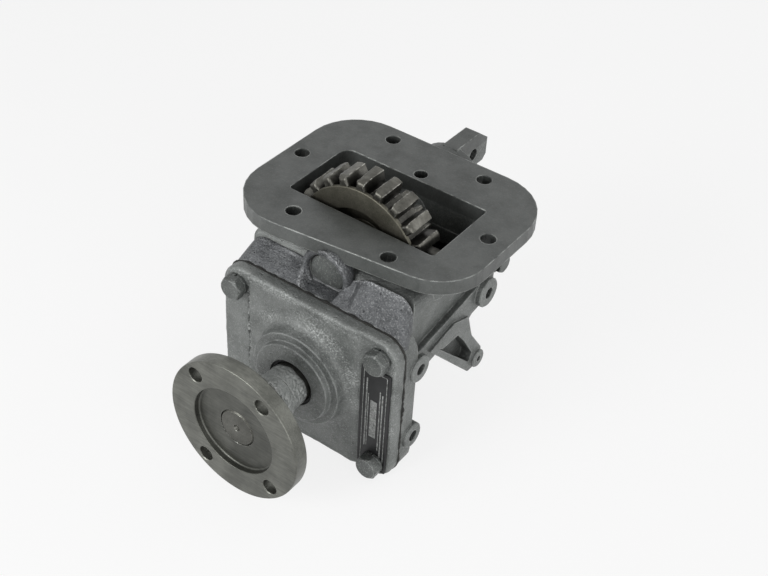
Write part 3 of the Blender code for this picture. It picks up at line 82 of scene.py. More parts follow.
def noise(tree, where, size, detail, roughness=0.5):
    """Cloudy noise whose largest features have about the given size."""
    return add(tree, "ShaderNodeTexNoise", {"Scale": 1 / size, "Detail": detail,
                                            "Roughness": roughness,
                                            "Vector": where}).outputs["Fac"]


def ramp(tree, source, low, high, first, last):
    """A colour that goes from first at the value low to last at the value high."""
    made = add(tree, "ShaderNodeValToRGB", {"Fac": source})
    for element, place, colour in zip(made.color_ramp.elements, (low, high), (first, last)):
        element.position = place
        element.color = colour
    return made.outputs["Color"]


def fade(tree, source, low, high, dark=0.0, light=1.0):
    """A grey that goes from dark at the value low to light at the value high."""
    return ramp(tree, source, low, high, (dark, dark, dark, 1.0), (light, light, light, 1.0))


def remap(tree, source, low, high, at_low=0.0, at_high=1.0):
    """A number carried from the span low to high onto at_low to at_high."""
    return add(tree, "ShaderNodeMapRange", {"Value": source, "From Min": low, "From Max": high,
                                            "To Min": at_low,
                                            "To Max": at_high}).outputs["Result"]


def calc(tree, operation, *terms, clamp=False):
    """Arithmetic on numbers; each term is a socket or a value."""
    return add(tree, "ShaderNodeMath", dict(enumerate(terms)), operation=operation,
               use_clamp=clamp).outputs[0]


def vector(tree, operation, *terms):
    """The same on vectors; gives the node, whose result is a vector or a number."""
    return add(tree, "ShaderNodeVectorMath", dict(enumerate(terms)), operation=operation)


def mix(tree, share, under, over, blend="MIX"):
    """Two colours laid over each other; each is a socket or a value."""
    return add(tree, "ShaderNodeMix", {"Factor": share, "A": under, "B": over},
               data_type="RGBA", blend_type=blend).outputs["Result"]


def relief(tree, height, distance, strength, normal=None):
    """A bump of the given height in metres, on top of an earlier normal."""
    inputs = {"Height": height, "Distance": distance, "Strength": strength}
    if normal is not None:
        inputs["Normal"] = normal
    return add(tree, "ShaderNodeBump", inputs).outputs["Normal"]


def edge_mask(tree, radius, low, high):
    """White along edges: where the normal rounded over a radius leaves the flat normal."""
    rounded = add(tree, "ShaderNodeBevel", {"Radius": radius}, samples=6).outputs["Normal"]
    flat = add(tree, "ShaderNodeNewGeometry").outputs["Normal"]
    dot = vector(tree, "DOT_PRODUCT", rounded, flat).outputs["Value"]
    return remap(tree, dot, high, low), rounded


def shade_and_dirt_in_hollows(tree, colour, share, distance, low, high, dark):
    """Painted shade, with some dirt, in the hollows: the colour multiplied by a grey from
    ambient occlusion.
    """
    hollow = add(tree, "ShaderNodeAmbientOcclusion", {"Distance": distance}, samples=4)
    shade_and_dirt_grey = fade(tree, hollow.outputs["AO"], low, high, dark)
    return mix(tree, share, colour, shade_and_dirt_grey, "MULTIPLY")


def join_surface(tree, shader, colour, normal):
    """Hand the finished colour and normal to the material's shader."""
    tree.links.new(colour, shader.inputs["Base Color"])
    tree.links.new(normal, shader.inputs["Normal"])


# Shares of relief and of tone that are left where a face has been milled, and the height over
# which they set in; the lower tone is painted shade on the upward milled face.
# Without a height of its own no face is milled
MILLED_RELIEF, MILLED_TOP_SHADE, MILLED_BAND = 0.22, 0.60, 0.0016
ABOVE_ALL = 9.0


def cast_paint(name, base, dark, worn, lump=0.0009, grain=0.0004, edge=0.0014,
               milled_from=ABOVE_ALL, hollow_shade_and_dirt=0.75):
    """Grey air-dried enamel over sand-cast iron: the sand's grain and the pour's lumps
    stand through the thin paint, hollows are darkened by painted shade with some dirt, and
    edges are rubbed to bright metal.
    Above the height milled_from the face has been milled, so its relief fades; it is also
    painted darker there, as shade on the upward face.
    The mesh attribute "rubbed" marks rough crests whose paint has gone."""
    mat, tree, shader, where = surface(name, metallic=0.25, roughness=0.42)
    wear, rounded = edge_mask(tree, edge, 0.90, 0.995)
    sand = noise(tree, where, 0.0011, 5.0, 0.62)
    pour = noise(tree, where, 0.009, 3.0, 0.55)
    stain = noise(tree, where, 0.022, 6.0, 0.65)
    cells = add(tree, "ShaderNodeTexVoronoi", {"Scale": 1 / 0.0042, "Randomness": 1.0,
                                               "Vector": where})
    pit = fade(tree, cells.outputs["Distance"], 0.0, 0.22)
    height = add(tree, "ShaderNodeSeparateXYZ", {"Vector": where}).outputs["Z"]
    rough = remap(tree, height, milled_from, milled_from + MILLED_BAND, 1.0, MILLED_RELIEF)

    tone = ramp(tree, stain, 0.36, 0.60, linear(dark), linear(base))
    # Painted shade: the milled top face, which faces up, is darkened
    top_face_shade = remap(tree, rough, MILLED_RELIEF, 1.0, MILLED_TOP_SHADE, 1.0)
    tone = mix(tree, 1.0, tone, top_face_shade, "MULTIPLY")
    speck = calc(tree, "MULTIPLY", fade(tree, sand, 0.53, 0.68), rough)
    rubbed = add(tree, "ShaderNodeAttribute", attribute_name="rubbed").outputs["Fac"]
    crest = calc(tree, "MULTIPLY", rubbed, fade(tree, sand, 0.42, 0.74))
    scuff = calc(tree, "MULTIPLY_ADD", speck, 0.42, crest, clamp=True)
    tone = mix(tree, scuff, tone, linear(worn))
    worn_edge = calc(tree, "MULTIPLY", wear, fade(tree, pour, 0.38, 0.58))
    tone = mix(tree, worn_edge, tone, linear(worn))
    # Painted shade, with some dirt: hollows darkened by ambient occlusion
    tone = shade_and_dirt_in_hollows(tree, tone, hollow_shade_and_dirt, 0.014, 0.25, 0.85, 0.25)

    normal = relief(tree, pour, lump, rough, rounded)
    normal = relief(tree, pit, grain, rough, normal)
    join_surface(tree, shader, tone, relief(tree, sand, grain, rough, normal))
    return mat


def bare_metal(name, base, dark, roughness=0.38, edge=0.0005, scratch=0.0009,
               stretch=(1, 1, 1), bright=None, recess=None, hollow_shade_and_dirt=0.0):
    """Bare machined steel: fine cutter marks, a thin oil film that stains it in patches,
    bright worn edges.  recess, as (x, z, radius), darkens the face inside that circle
    about an axis along Y: painted shade, with oil dirt, in the recess."""
    mat, tree, shader, where = surface(name, metallic=0.85, roughness=roughness)
    wear, rounded = edge_mask(tree, edge, 0.88, 0.99)
    stain = noise(tree, where, 0.016, 5.0, 0.6)
    along = add(tree, "ShaderNodeMapping", {"Scale": stretch, "Vector": where}).outputs[0]
    marks = noise(tree, along, scratch, 3.0, 0.6)

    tone = ramp(tree, stain, 0.35, 0.65, linear(dark), linear(base))
    tone = mix(tree, 0.7, tone, fade(tree, marks, 0.36, 0.64, 0.62), "MULTIPLY")
    # Painted shade, with oil dirt, darkens the face inside the recess
    if recess:
        x, z, radius = recess
        off = vector(tree, "SUBTRACT", where, (x, 0.0, z)).outputs[0]
        flat = vector(tree, "MULTIPLY", off, (1.0, 0.0, 1.0)).outputs[0]
        reach = vector(tree, "LENGTH", flat).outputs["Value"]
        shade = remap(tree, reach, radius - 0.0006, radius, 0.66, 1.0)
        tone = mix(tree, 1.0, tone, shade, "MULTIPLY")
    if bright:
        patchy = calc(tree, "MULTIPLY", wear, fade(tree, marks, 0.42, 0.62, 0.0, 0.75))
        tone = mix(tree, patchy, tone, linear(bright))
    # Painted shade, with some dirt: hollows darkened by ambient occlusion
    if hollow_shade_and_dirt:
        tone = shade_and_dirt_in_hollows(tree, tone, hollow_shade_and_dirt, 0.010, 0.20, 0.80, 0.0)
    join_surface(tree, shader, tone, relief(tree, marks, 0.00007, 0.6, rounded))
    return mat


def sheet_stock(name, base, dark, roughness, patch=0.010, grain=0.0012, rise=0.00006):
    """Rubber, gasket paper or anodised sheet: matt, with faint patches from handling and
    a fine grain; the grain is drawn at about a millimetre so that it shows."""
    mat, tree, shader, where = surface(name, roughness=roughness)
    tone = ramp(tree, noise(tree, where, patch, 5.0, 0.7), 0.35, 0.66, linear(dark),
                linear(base))
    join_surface(tree, shader, tone, relief(tree, noise(tree, where, grain, 3.0), rise, 0.7))
    return mat


# In the model's frame: where the milled face of the mounting flange begins, above which it is
# painted darker as shade, and the axis (x, z) and radius of the companion flange's recess,
# inside which painted shade and oil dirt darken it
MILLED_TOP = 0.1462
FLANGE_RECESS = (-0.00175, 0.0627, 0.0331)

housing_paint = cast_paint("grey_enamel_on_sand_cast_iron", "#707371", "#585b59", "#a2a5a2",
                           milled_from=MILLED_TOP)
# The shoulder's enamel is a darker copy of the housing's: painted shade under the overhang of
# the mounting flange
shaded_shoulder_paint = cast_paint("grey_enamel_shaded_on_rough_shoulder", "#5a5c5e", "#3e4042", "#a9abac",
                            lump=0.0024, grain=0.0007)
cover_paint = cast_paint("grey_enamel_on_cover_casting", "#777a78", "#5e615f", "#b4b7b5",
                         lump=0.0013, grain=0.0005, hollow_shade_and_dirt=0.45)
flaked_paint = cast_paint("crumpled_enamel", "#9c9f9d", "#757876", "#d0d2d0",
                          lump=0.0004, grain=0.0003, edge=0.0006)
bolt_paint = cast_paint("grey_enamel_on_bolt_heads", "#5d605e", "#424543", "#b4b7b5",
                        lump=0.0002, grain=0.0002, edge=0.0008)
turned_steel = bare_metal("turned_flange_steel", "#777872", "#5f605b",
                          stretch=(0.06, 1.0, 1.0), bright="#b9bab4", recess=FLANGE_RECESS)
shaft_steel = bare_metal("ground_shaft_steel", "#64645f", "#4c4c47", bright="#b9bab4")
gear_steel = bare_metal("hardened_gear_steel", "#6b6a64", "#45443f", roughness=0.34,
                        bright="#c2c2bb", edge=0.0011, scratch=0.0026, hollow_shade_and_dirt=0.9)
gear_face = bare_metal("ground_gear_face", "#68665c", "#504e45", roughness=0.45)
bolt_steel = bare_metal("dull_bolt_steel", "#7d807e", "#5a5d5b", roughness=0.42,
                        bright="#b0b3b1")
plate_black = sheet_stock("black_anodised_plate", "#1b1c1d", "#0d0e0f", 0.55)
plate_pale = sheet_stock("etched_plate_ruling", "#a9aba9", "#4c4e4c", 0.5, patch=0.0022)
bearing_steel = bare_metal("ground_bearing_steel", "#a8a9aa", "#96989a", roughness=0.2)
bronze = bare_metal("bush_bronze", "#a58550", "#86683b", roughness=0.35)
rubber = sheet_stock("nitrile_rubber", "#1d1d1d", "#121212", 0.7)
paper = sheet_stock("gasket_paper_black", "#2b2b28", "#141412", 0.85, grain=0.0008,
                    rise=0.0002)
copper = bare_metal("soft_copper", "#a9725a", "#8b5a45", roughness=0.35)

FINISH = {
    "housing": housing_paint, "front_cover": cover_paint, "shift_fork": housing_paint,
    "rear_bearing_cap": cover_paint, "cover_gasket": paper, "cap_gasket": paper,
    "data_plate": plate_black, "shaft_seal": rubber, "bush_front": bronze,
    "bush_rear": bronze, "thrust_washer_front": bronze, "thrust_washer_rear": bronze,
    "drain_washer": copper, "idler_gear": gear_steel, "driven_gear": gear_steel,
    "output_shaft": shaft_steel, "companion_flange": turned_steel,
    "flange_key": shaft_steel, "idler_axle": shaft_steel, "axle_plug": bolt_paint,
    "shift_rail": shaft_steel,
}
for name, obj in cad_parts.items():
    mat = FINISH.get(name)
    if mat is None:
        mat = bearing_steel if "bearing" in name or "circlip" in name else bolt_steel
    obj.data.materials.clear()
    obj.data.materials.append(mat)

# Shapes: places are written from the centre of the mounting face's bolt pattern,
# as the drawing has them; MID carries them to the frame of the model
MID = np.array((-0.00175, 0.0237, 0.15867058))
BENCH_Z = -MID[2]
OUT_Z = -0.0959706
OUT_AXIS = (0.0, OUT_Z)
IDLER_X, IDLER_Z = IDLER_AXIS = (-0.0020, -0.0280)


def climb(value, start, length):
    """0 up to the start, then evenly up to 1 over the length."""
    return np.clip((value - start) / length, 0, 1)


def hump(value, middle, width):
    """A bell curve: exp(-((value - middle) / width)^2)."""
    return np.exp(-((value - middle) / width) ** 2)


def eased_step(t):
    """A soft step from 0 to 1: t^2 (3 - 2 t)."""
    return t * t * (3 - 2 * t)


def circle(count):
    """Even angles once round."""
    return np.linspace(0.0, 2 * np.pi, count, endpoint=False)


def turned(r, a, y, centre=(0.0, 0.0)):
    """Points (cx + r cos a, y, cz + r sin a), the arrays stretched to one shape."""
    r, a, y = np.broadcast_arrays(r, a, y)
    return np.stack([centre[0] + r * np.cos(a), y, centre[1] + r * np.sin(a)], axis=-1)


def in_plane(loop, y):
    """A loop of (x, z) points laid into the plane of one y."""
    return np.stack([loop[:, 0], np.full(len(loop), y), loop[:, 1]], 1)


def eased(points, radii, steps=5):
    """An open 2-D path whose corners are replaced by quadratic curves that start
    and end a radius away from the corner."""
    points = np.asarray(points, float)
    out = [points[:1]]
    t = np.linspace(0.0, 1.0, steps + 1)[:, None]
    for i, r in enumerate(np.broadcast_to(radii, len(points) - 2), 1):
        here = points[i]
        before, after = points[i - 1] - here, points[i + 1] - here
        a = here + before * min(0.49, r / np.linalg.norm(before))
        b = here + after * min(0.49, r / np.linalg.norm(after))
        out.append((1 - t) ** 2 * a + 2 * t * (1 - t) * here + t ** 2 * b)
    out.append(points[-1:])
    return np.concatenate(out)


def quads(rows, columns, close_rows=False, close_columns=True, skip=None):
    """Quad corner numbers of a grid whose points are numbered row by row."""
    index = np.arange(rows * columns).reshape(rows, columns)
    if close_rows:
        index = np.vstack([index, index[:1]])
    if close_columns:
        index = np.hstack([index, index[:, :1]])
    faces = np.stack([index[:-1, :-1], index[1:, :-1], index[1:, 1:], index[:-1, 1:]], axis=-1)
    if skip is not None:
        faces = faces[~skip]
    return faces.reshape(-1, 4)


def skin(grid, close_rows=True, close_columns=True):
    """A grid of points with its faces, as a part of a piece."""
    return grid, quads(*grid.shape[:2], close_rows, close_columns)


def waves(points, wavelengths, seed, count=9):
    """Smooth lumps: the mean of sine waves of seeded direction and phase, one set per
    wavelength, each wavelength's height in proportion to its length."""
    rng = np.random.default_rng(seed)
    total = np.zeros(points.shape[:-1])
    weight = 0.0
    for length in wavelengths:
        ways = rng.normal(size=(count, 3))
        ways *= 2 * np.pi / length / np.linalg.norm(ways, axis=1, keepdims=True)
        phases = rng.uniform(0, 2 * np.pi, count)
        total += length * np.sin(points @ ways.T + phases).mean(axis=-1)
        weight += length
    return total / weight * 2.0


def wave_push(points, wavelengths, seed, count):
    """Three such sets of lumps, one each for x, y and z."""
    return np.stack([waves(points, wavelengths, seed + k, count) for k in range(3)], -1)


# Points nearer than WELD become one; an edge shorter than SPECK is dropped
WELD, SPECK = 2e-6, 1e-7


def piece(name, grids, mat, body, nodes=(), sharp=35.0, rubbed=None):
    """One closed mesh from (points, faces) parts, welded along their shared edges;
    rubbed gives each point's share of worn paint."""
    verts, faces, start = [], [], 0
    for points, corner_numbers in grids:
        flat = points.reshape(-1, 3)
        verts.append(flat)
        faces.append(corner_numbers + start)
        start += len(flat)
    verts = np.concatenate(verts) + MID
    faces = np.concatenate(faces)
    mesh = bpy.data.meshes.new(name)
    mesh.vertices.add(len(verts))
    mesh.vertices.foreach_set("co", verts.ravel())
    mesh.loops.add(faces.size)
    mesh.loops.foreach_set("vertex_index", faces.ravel().astype(np.int32))
    mesh.polygons.add(len(faces))
    mesh.polygons.foreach_set("loop_start", np.arange(0, faces.size, 4, dtype=np.int32))
    mesh.update(calc_edges=True)
    if rubbed is not None:
        worn = mesh.attributes.new("rubbed", "FLOAT", "POINT")
        worn.data.foreach_set("value", np.ascontiguousarray(rubbed, np.float32).ravel())
    bm = bmesh.new()
    bm.from_mesh(mesh)
    bmesh.ops.remove_doubles(bm, verts=bm.verts, dist=WELD)
    bmesh.ops.dissolve_degenerate(bm, edges=bm.edges, dist=SPECK)
    bmesh.ops.recalc_face_normals(bm, faces=bm.faces)
    bm.to_mesh(mesh)
    bm.free()
    mesh.materials.append(mat)
    mesh.shade_smooth()
    mesh.set_sharp_from_angle(angle=math.radians(sharp))
    obj = bpy.data.objects.new(name, mesh)
    bpy.context.scene.collection.objects.link(obj)
    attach(obj, body)
    if nodes:
        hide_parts(*nodes)


# Companion flange: a turned disc on a hub; the ring with the bolt holes is made of
# four fans that run from each hole's circle to the edge of its sector
FLANGE_FRONT, FLANGE_BACK, RECESS_FLOOR = -0.1634, -0.1524, -0.1589
FLANGE_RADIUS, RECESS_RADIUS, FLANGE_BORE = 0.0522, 0.0325, 0.0139
HUB_RADIUS, HUB_END, HUB_FILLET = 0.0162, -0.1195, 0.0070
RING_IN, RING_OUT, RING_STEPS = 0.0340, 0.0506, 6
BOLT_CIRCLE, HOLE_RADIUS, MOUTH_FRONT, MOUTH_BACK = 0.0436, 0.0055, 0.0060, 0.0059
FIRST_HOLE = math.radians(56.1)
HOLES = [FIRST_HOLE + math.radians(turn) for turn in (0, 78, 180, 258)]
SECTOR, SECTOR_STEP, FAN_ROWS = math.radians(30), math.radians(2.0), 7


def drilled_ring(y, hole_r):
    """For each hole, points (1-t) c + t b between the hole's circle c and the sector's
    border b, both walked in the same turn; t runs 0 to 1."""
    parts = []
    for centre in HOLES:
        lo, hi = centre - SECTOR, centre + SECTOR
        arc = np.linspace(lo, hi, int(round(2 * SECTOR / SECTOR_STEP)) + 1)
        rad = np.linspace(RING_IN, RING_OUT, RING_STEPS + 1)
        border = np.concatenate([
            np.stack([np.full(arc.size - 1, RING_IN), arc[:-1]], 1),
            np.stack([rad[:-1], np.full(RING_STEPS, hi)], 1),
            np.stack([np.full(arc.size - 1, RING_OUT), arc[::-1][:-1]], 1),
            np.stack([rad[::-1][:-1], np.full(RING_STEPS, lo)], 1)])
        bx, bz = border[:, 0] * np.cos(border[:, 1]), border[:, 0] * np.sin(border[:, 1])
        cx, cz = BOLT_CIRCLE * np.cos(centre), BOLT_CIRCLE * np.sin(centre)
        a = np.arctan2(bz - cz, bx - cx)
        t = np.linspace(0.0, 1.0, FAN_ROWS)[:, None]
        x = (1 - t) * (cx + hole_r * np.cos(a)) + t * bx
        z = (1 - t) * (cz + hole_r * np.sin(a)) + t * bz
        parts.append((skin(np.stack([x, np.full_like(x, y), z + OUT_Z], -1), False),
                      a, (cx, OUT_Z + cz)))
    return parts


def companion_flange():
    """Rows run from the bore over the recess, the ring, the edge, the back and the hub;
    the faces that the drilled ring takes over are skipped."""
    front_half = eased([(RECESS_FLOOR, FLANGE_BORE), (RECESS_FLOOR, RECESS_RADIUS),
                        (FLANGE_FRONT, RECESS_RADIUS), (FLANGE_FRONT, RING_IN)],
                       [0.0014, 0.0007])
    edge = eased([(FLANGE_FRONT, RING_OUT), (FLANGE_FRONT, FLANGE_RADIUS),
                  (FLANGE_BACK, FLANGE_RADIUS), (FLANGE_BACK, RING_OUT)], [0.0011, 0.0009])
    tail = eased([(FLANGE_BACK, RING_IN), (FLANGE_BACK, HUB_RADIUS), (HUB_END, HUB_RADIUS),
                  (HUB_END, FLANGE_BORE)], [HUB_FILLET, 0.0010], 8)
    between = np.linspace(RING_IN, RING_OUT, RING_STEPS + 1)[1:-1, None]
    out_face = np.hstack([np.full_like(between, FLANGE_FRONT), between])
    in_face = np.hstack([np.full_like(between, FLANGE_BACK), between[::-1]])
    profile = np.concatenate([front_half, out_face, edge, in_face, tail])
    count = int(round(2 * math.pi / SECTOR_STEP))
    start = FIRST_HOLE - SECTOR
    grid = turned(profile[:, 1:], start + circle(count), profile[:, :1], OUT_AXIS)
    middle = (np.arange(count) + 0.5) * SECTOR_STEP
    in_sector = np.zeros(count, bool)
    for hole in HOLES:
        off = (middle - (hole - start) + math.pi) % (2 * math.pi) - math.pi
        in_sector |= np.abs(off) < SECTOR
    skip = np.zeros((len(profile), count), bool)
    first_row = len(front_half) - 1
    for row in (first_row, first_row + len(out_face) + len(edge)):
        skip[row:row + RING_STEPS] = in_sector
    parts = [(grid, quads(len(profile), count, close_rows=True, skip=skip))]
    depth = np.array([FLANGE_FRONT, FLANGE_FRONT + 0.0005, FLANGE_BACK - 0.0004,
                      FLANGE_BACK])[:, None]
    radius = np.array([MOUTH_FRONT, HOLE_RADIUS, HOLE_RADIUS, MOUTH_BACK])[:, None]
    for (near, a, centre), (far, _, _) in zip(drilled_ring(FLANGE_FRONT, MOUTH_FRONT),
                                              drilled_ring(FLANGE_BACK, MOUTH_BACK)):
        parts += [near, far, skin(turned(radius, a, depth, centre), False)]
    piece("turned_companion_flange", parts, turned_steel, "output", ["companion_flange"])


companion_flange()

# Cover: one skin carried round the output axis, from the bore over the stepped boss
# and the plate to its rounded-square edge, and back along the joint face
COVER_HALF, COVER_CORNER, COVER_DROP = (0.0730, 0.0600), 0.0160, 0.0027
PLATE_FACE, JOINT_FACE, PLATE_LOW = -0.0884, -0.0804, 0.0014
BOSS_RADIUS, BOSS_FOOT, FOOT_END, FOOT_SHARE = 0.0360, 0.0390, 0.0500, 0.92
THROAT_RADIUS, SEAL_BORE, BEARING_BORE, GROOVE_RADIUS = 0.0176, 0.0213, 0.0313, 0.0331
SEAM_X, PANEL_LEFT, PANEL_RIGHT, SOFT_EDGE = -0.0497, -0.0500, 0.0440, 0.0028
PLATE_ROWS, EDGE_ROWS = 51, 3


def square_edge(count, half, radius):
    """Points at even steps of length along a rectangle with round corners."""
    t = np.linspace(0.0, 1.0, 25)[:, None] * np.pi / 2
    corners = []
    for k, (sx, sz) in enumerate(((1, 1), (-1, 1), (-1, -1), (1, -1))):
        a = t + k * np.pi / 2
        corners.append(np.hstack([sx * (half[0] - radius) + radius * np.cos(a),
                                  sz * (half[1] - radius) + radius * np.sin(a)]))
    loop = np.concatenate(corners + [corners[0][:1]])
    along = np.concatenate([[0], np.cumsum(np.linalg.norm(np.diff(loop, axis=0), axis=1))])
    at = np.linspace(0, along[-1], count, endpoint=False)
    return np.stack([np.interp(at, along, loop[:, 0]), np.interp(at, along, loop[:, 1])], 1)


def cover_relief(grid):
    """The cast surface's push along Y, and each point's share of worn paint.  The left
    strip and the right edge lie lower than the panel, a ragged seam of paint runs along
    the panel's left side, and the plate's border rounds away over a radius."""
    x, z = grid[..., 0], grid[..., 2]
    flat = grid[..., [0, 2]]
    # How deep a point lies inside the rounded rectangle
    inner = np.abs(flat - np.array([0, -COVER_DROP])) - (np.array(COVER_HALF) - COVER_CORNER)
    depth = COVER_CORNER - np.linalg.norm(np.maximum(inner, 0), axis=-1) - np.minimum(
        inner.max(axis=-1), 0)
    reach = np.linalg.norm(flat, axis=-1)
    out = climb(reach, 0.0362, 0.0060)
    panel = climb(x, PANEL_LEFT, 0.0012) * climb(-x, -PANEL_RIGHT, 0.0040)
    wander = 0.0006 * waves(grid * np.array([0, 0, 1.0]), (0.012, 0.005), seed=12)
    seam = hump(x + wander, SEAM_X, 0.0008)
    rag = np.clip(waves(grid, (0.0042, 0.0026), seed=3, count=14) * 1.6, 0, 1)
    lump = waves(grid, (0.034, 0.016, 0.008), seed=5) * 0.00055
    grain = waves(grid, (0.0034, 0.0022), seed=8, count=16) * 0.00016
    # The rim of the plate and the upper foot of the boss are left as rough as the mould
    rim = hump(depth, 0.0040, 0.0034) * climb(x * 0.55 + z, 0.0, 0.020)
    foot_band = hump(reach, 0.0435, 0.0042) * climb(z + 0.45 * x, 0.0, 0.014)
    patchy = np.clip(0.5 + 0.9 * waves(grid, (0.022, 0.009), seed=9), 0, 1)
    crest = np.clip((0.85 * rim + foot_band) * patchy + seam * rag * 1.4, 0, 1)
    bend = np.clip(1 - depth / SOFT_EDGE, 0, 1)
    push = out * (lump + (1 - panel) * PLATE_LOW + seam * (0.0016 - 0.0040 * rag))
    push += grain * (1 + 2.6 * crest) * np.clip((reach - 0.0350) / 0.0030, 0.10, 1)
    push += out * SOFT_EDGE * (1 - np.sqrt(1 - bend ** 2))
    return push, crest


def cover_skin():
    """Rows: bore, boss steps, then (1-t) circle + t border for the plate, then the edge
    and the hollow behind.  Lumps push every point of the front along Y."""
    count = 480
    border = square_edge(count, COVER_HALF, COVER_CORNER)
    border[:, 1] -= COVER_DROP
    angle = np.arctan2(border[:, 1], border[:, 0])
    foot = np.minimum(FOOT_END, np.linalg.norm(border, axis=1) * FOOT_SHARE)
    face = PLATE_FACE - PLATE_LOW
    profile = eased([(-0.1044, THROAT_RADIUS), (-0.1055, THROAT_RADIUS), (-0.1055, 0.0300),
                     (-0.1010, 0.0302), (-0.1010, BOSS_RADIUS), (-0.0945, 0.0368),
                     (-0.0915, 0.0395), (face, 0.0445), (face, FOOT_END)],
                    [0.0004, 0.0006, 0.0009, 0.0006, 0.0022, 0.0025, 0.0030], 6)
    near = profile[:, 1:] * np.ones(count)
    spread = BOSS_FOOT + (near - BOSS_FOOT) * (foot - BOSS_FOOT) / (FOOT_END - BOSS_FOOT)
    rows = turned(np.where(near > BOSS_FOOT, spread, near), angle, profile[:, :1])
    t = np.linspace(0, 1, PLATE_ROWS + 1)[1:, None, None]
    ring = np.stack([np.cos(angle), np.sin(angle)], 1)
    flat = (1 - t) * (foot[:, None] * ring) + t * border
    plate = np.stack([flat[..., 0], np.full(flat.shape[:2], face), flat[..., 1]], -1)
    grid = np.concatenate([rows, plate])
    push, crest = cover_relief(grid)
    grid[..., 1] += push
    t = np.array([0.35, 0.7, 1.0])[:, None]
    side = np.repeat(grid[-1:], EDGE_ROWS, axis=0)
    side[..., 1] = (1 - t) * side[..., 1] + t * JOINT_FACE
    # From the joint inwards: the bearing's bore with its circlip groove, the seal's bore
    bored = np.array([(JOINT_FACE, BEARING_BORE), (-0.0807, BEARING_BORE),
                      (-0.0807, GROOVE_RADIUS), (-0.0827, GROOVE_RADIUS),
                      (-0.0827, BEARING_BORE), (-0.0993, BEARING_BORE), (-0.0993, SEAL_BORE),
                      (-0.1044, SEAL_BORE)])
    grid = np.concatenate([grid, side, turned(bored[:, 1:], angle, bored[:, :1])])
    grid[..., 2] += OUT_Z
    rubbed = np.pad(crest, ((0, EDGE_ROWS + len(bored)), (0, 0)))
    piece("cast_front_cover", [skin(grid)], cover_paint, "housing", ["front_cover"],
          sharp=50.0, rubbed=rubbed)


cover_skin()

# Idler: the big rim's teeth are rounded at the front for sliding into mesh
BIG_MODULE, BIG_TEETH, BIG_PHASE = 0.0045, 22, math.radians(25.5)
SMALL_MODULE, SMALL_TEETH = 0.0040, 16
SMALL_PHASE = math.atan2(OUT_Z - IDLER_Z, -IDLER_X)
PRESSURE_ANGLE, DEDENDUM = math.radians(20), 1.25
GEAR_SHARP = 40.0
# Along the arc at radius r: play between the flanks, what blunting leaves, and the least
# half width of a tip; then the flare of the root and the crown of the tip
PLAY, BLUNTED, LEAST_HALF, ROOT_FLARE, CROWN = 0.00006, 0.0007, 0.0012, 0.8, 0.0002


def involute(r, base):
    """How far an involute has turned at radius r: tan(g) - g, with cos(g) = base / r."""
    g = np.arccos(np.minimum(1, base / r))
    return np.tan(g) - g


def tooth_loop(module, teeth, phase, shrink, bulk=1.0, flank=8, tip=4, root=4):
    """One turn round a gear: root arc, involute flank, tip land, flank, for every tooth.
    shrink draws the whole outline in from the flanks and the tip, and bulk below 1
    leaves the worn tips blunt."""
    pitch = module * teeth / 2
    base = pitch * math.cos(PRESSURE_ANGLE)
    low, top = pitch - DEDENDUM * module, pitch + module - shrink
    r = low + (top - low) * np.linspace(0, 1, flank) ** 0.8
    lean = involute(pitch, base) - involute(np.maximum(r, base), base)
    half = np.pi / (2 * teeth) + lean * np.where(r > pitch, bulk, 1.0)
    half += (1 - bulk) * BLUNTED / r
    half += ROOT_FLARE * (np.maximum(base - r, 0) / base) ** 2 - (PLAY + 0.55 * shrink) / r
    half = np.maximum(half, LEAST_HALF / r)
    share = np.linspace(-1, 1, tip + 2)[1:-1]
    crown = top + CROWN * (1 - share ** 2)
    gap = np.linspace(0, 1, root + 2)[1:-1]
    one_r = np.concatenate([r, crown, r[::-1], np.full(root, low)])
    one_a = np.concatenate([-half, share * half[-1], half[::-1],
                            half[0] + gap * 2 * (np.pi / teeth - half[0])])
    a = (phase + np.arange(teeth)[:, None] * 2 * np.pi / teeth + one_a).ravel()
    return np.tile(one_r, teeth), a


def toothed_rim(module, teeth, phase, sections, inner, seed, wear, bulk=1.0):
    """Rows of tooth loops at their Y places, closed through an inner circle.
    Small seeded waves leave the edges slightly battered."""
    rows = []
    for y, shrink in sections:
        r, a = tooth_loop(module, teeth, phase, shrink, bulk)
        rows.append(turned(r, a, y))
    rows += [turned(inner, a, y) for y in (sections[-1][0], sections[0][0])]
    grid = np.array(rows)
    r = np.linalg.norm(grid[..., [0, 2]], axis=-1)
    outer = climb(r, module * teeth / 2, module)[..., None]
    push = wave_push(grid, (0.006, 0.0035), seed, 12)
    grid += push * wear * outer * np.array([1.0, 0.4, 1.0])
    return skin(grid + (IDLER_X, 0.0, IDLER_Z))


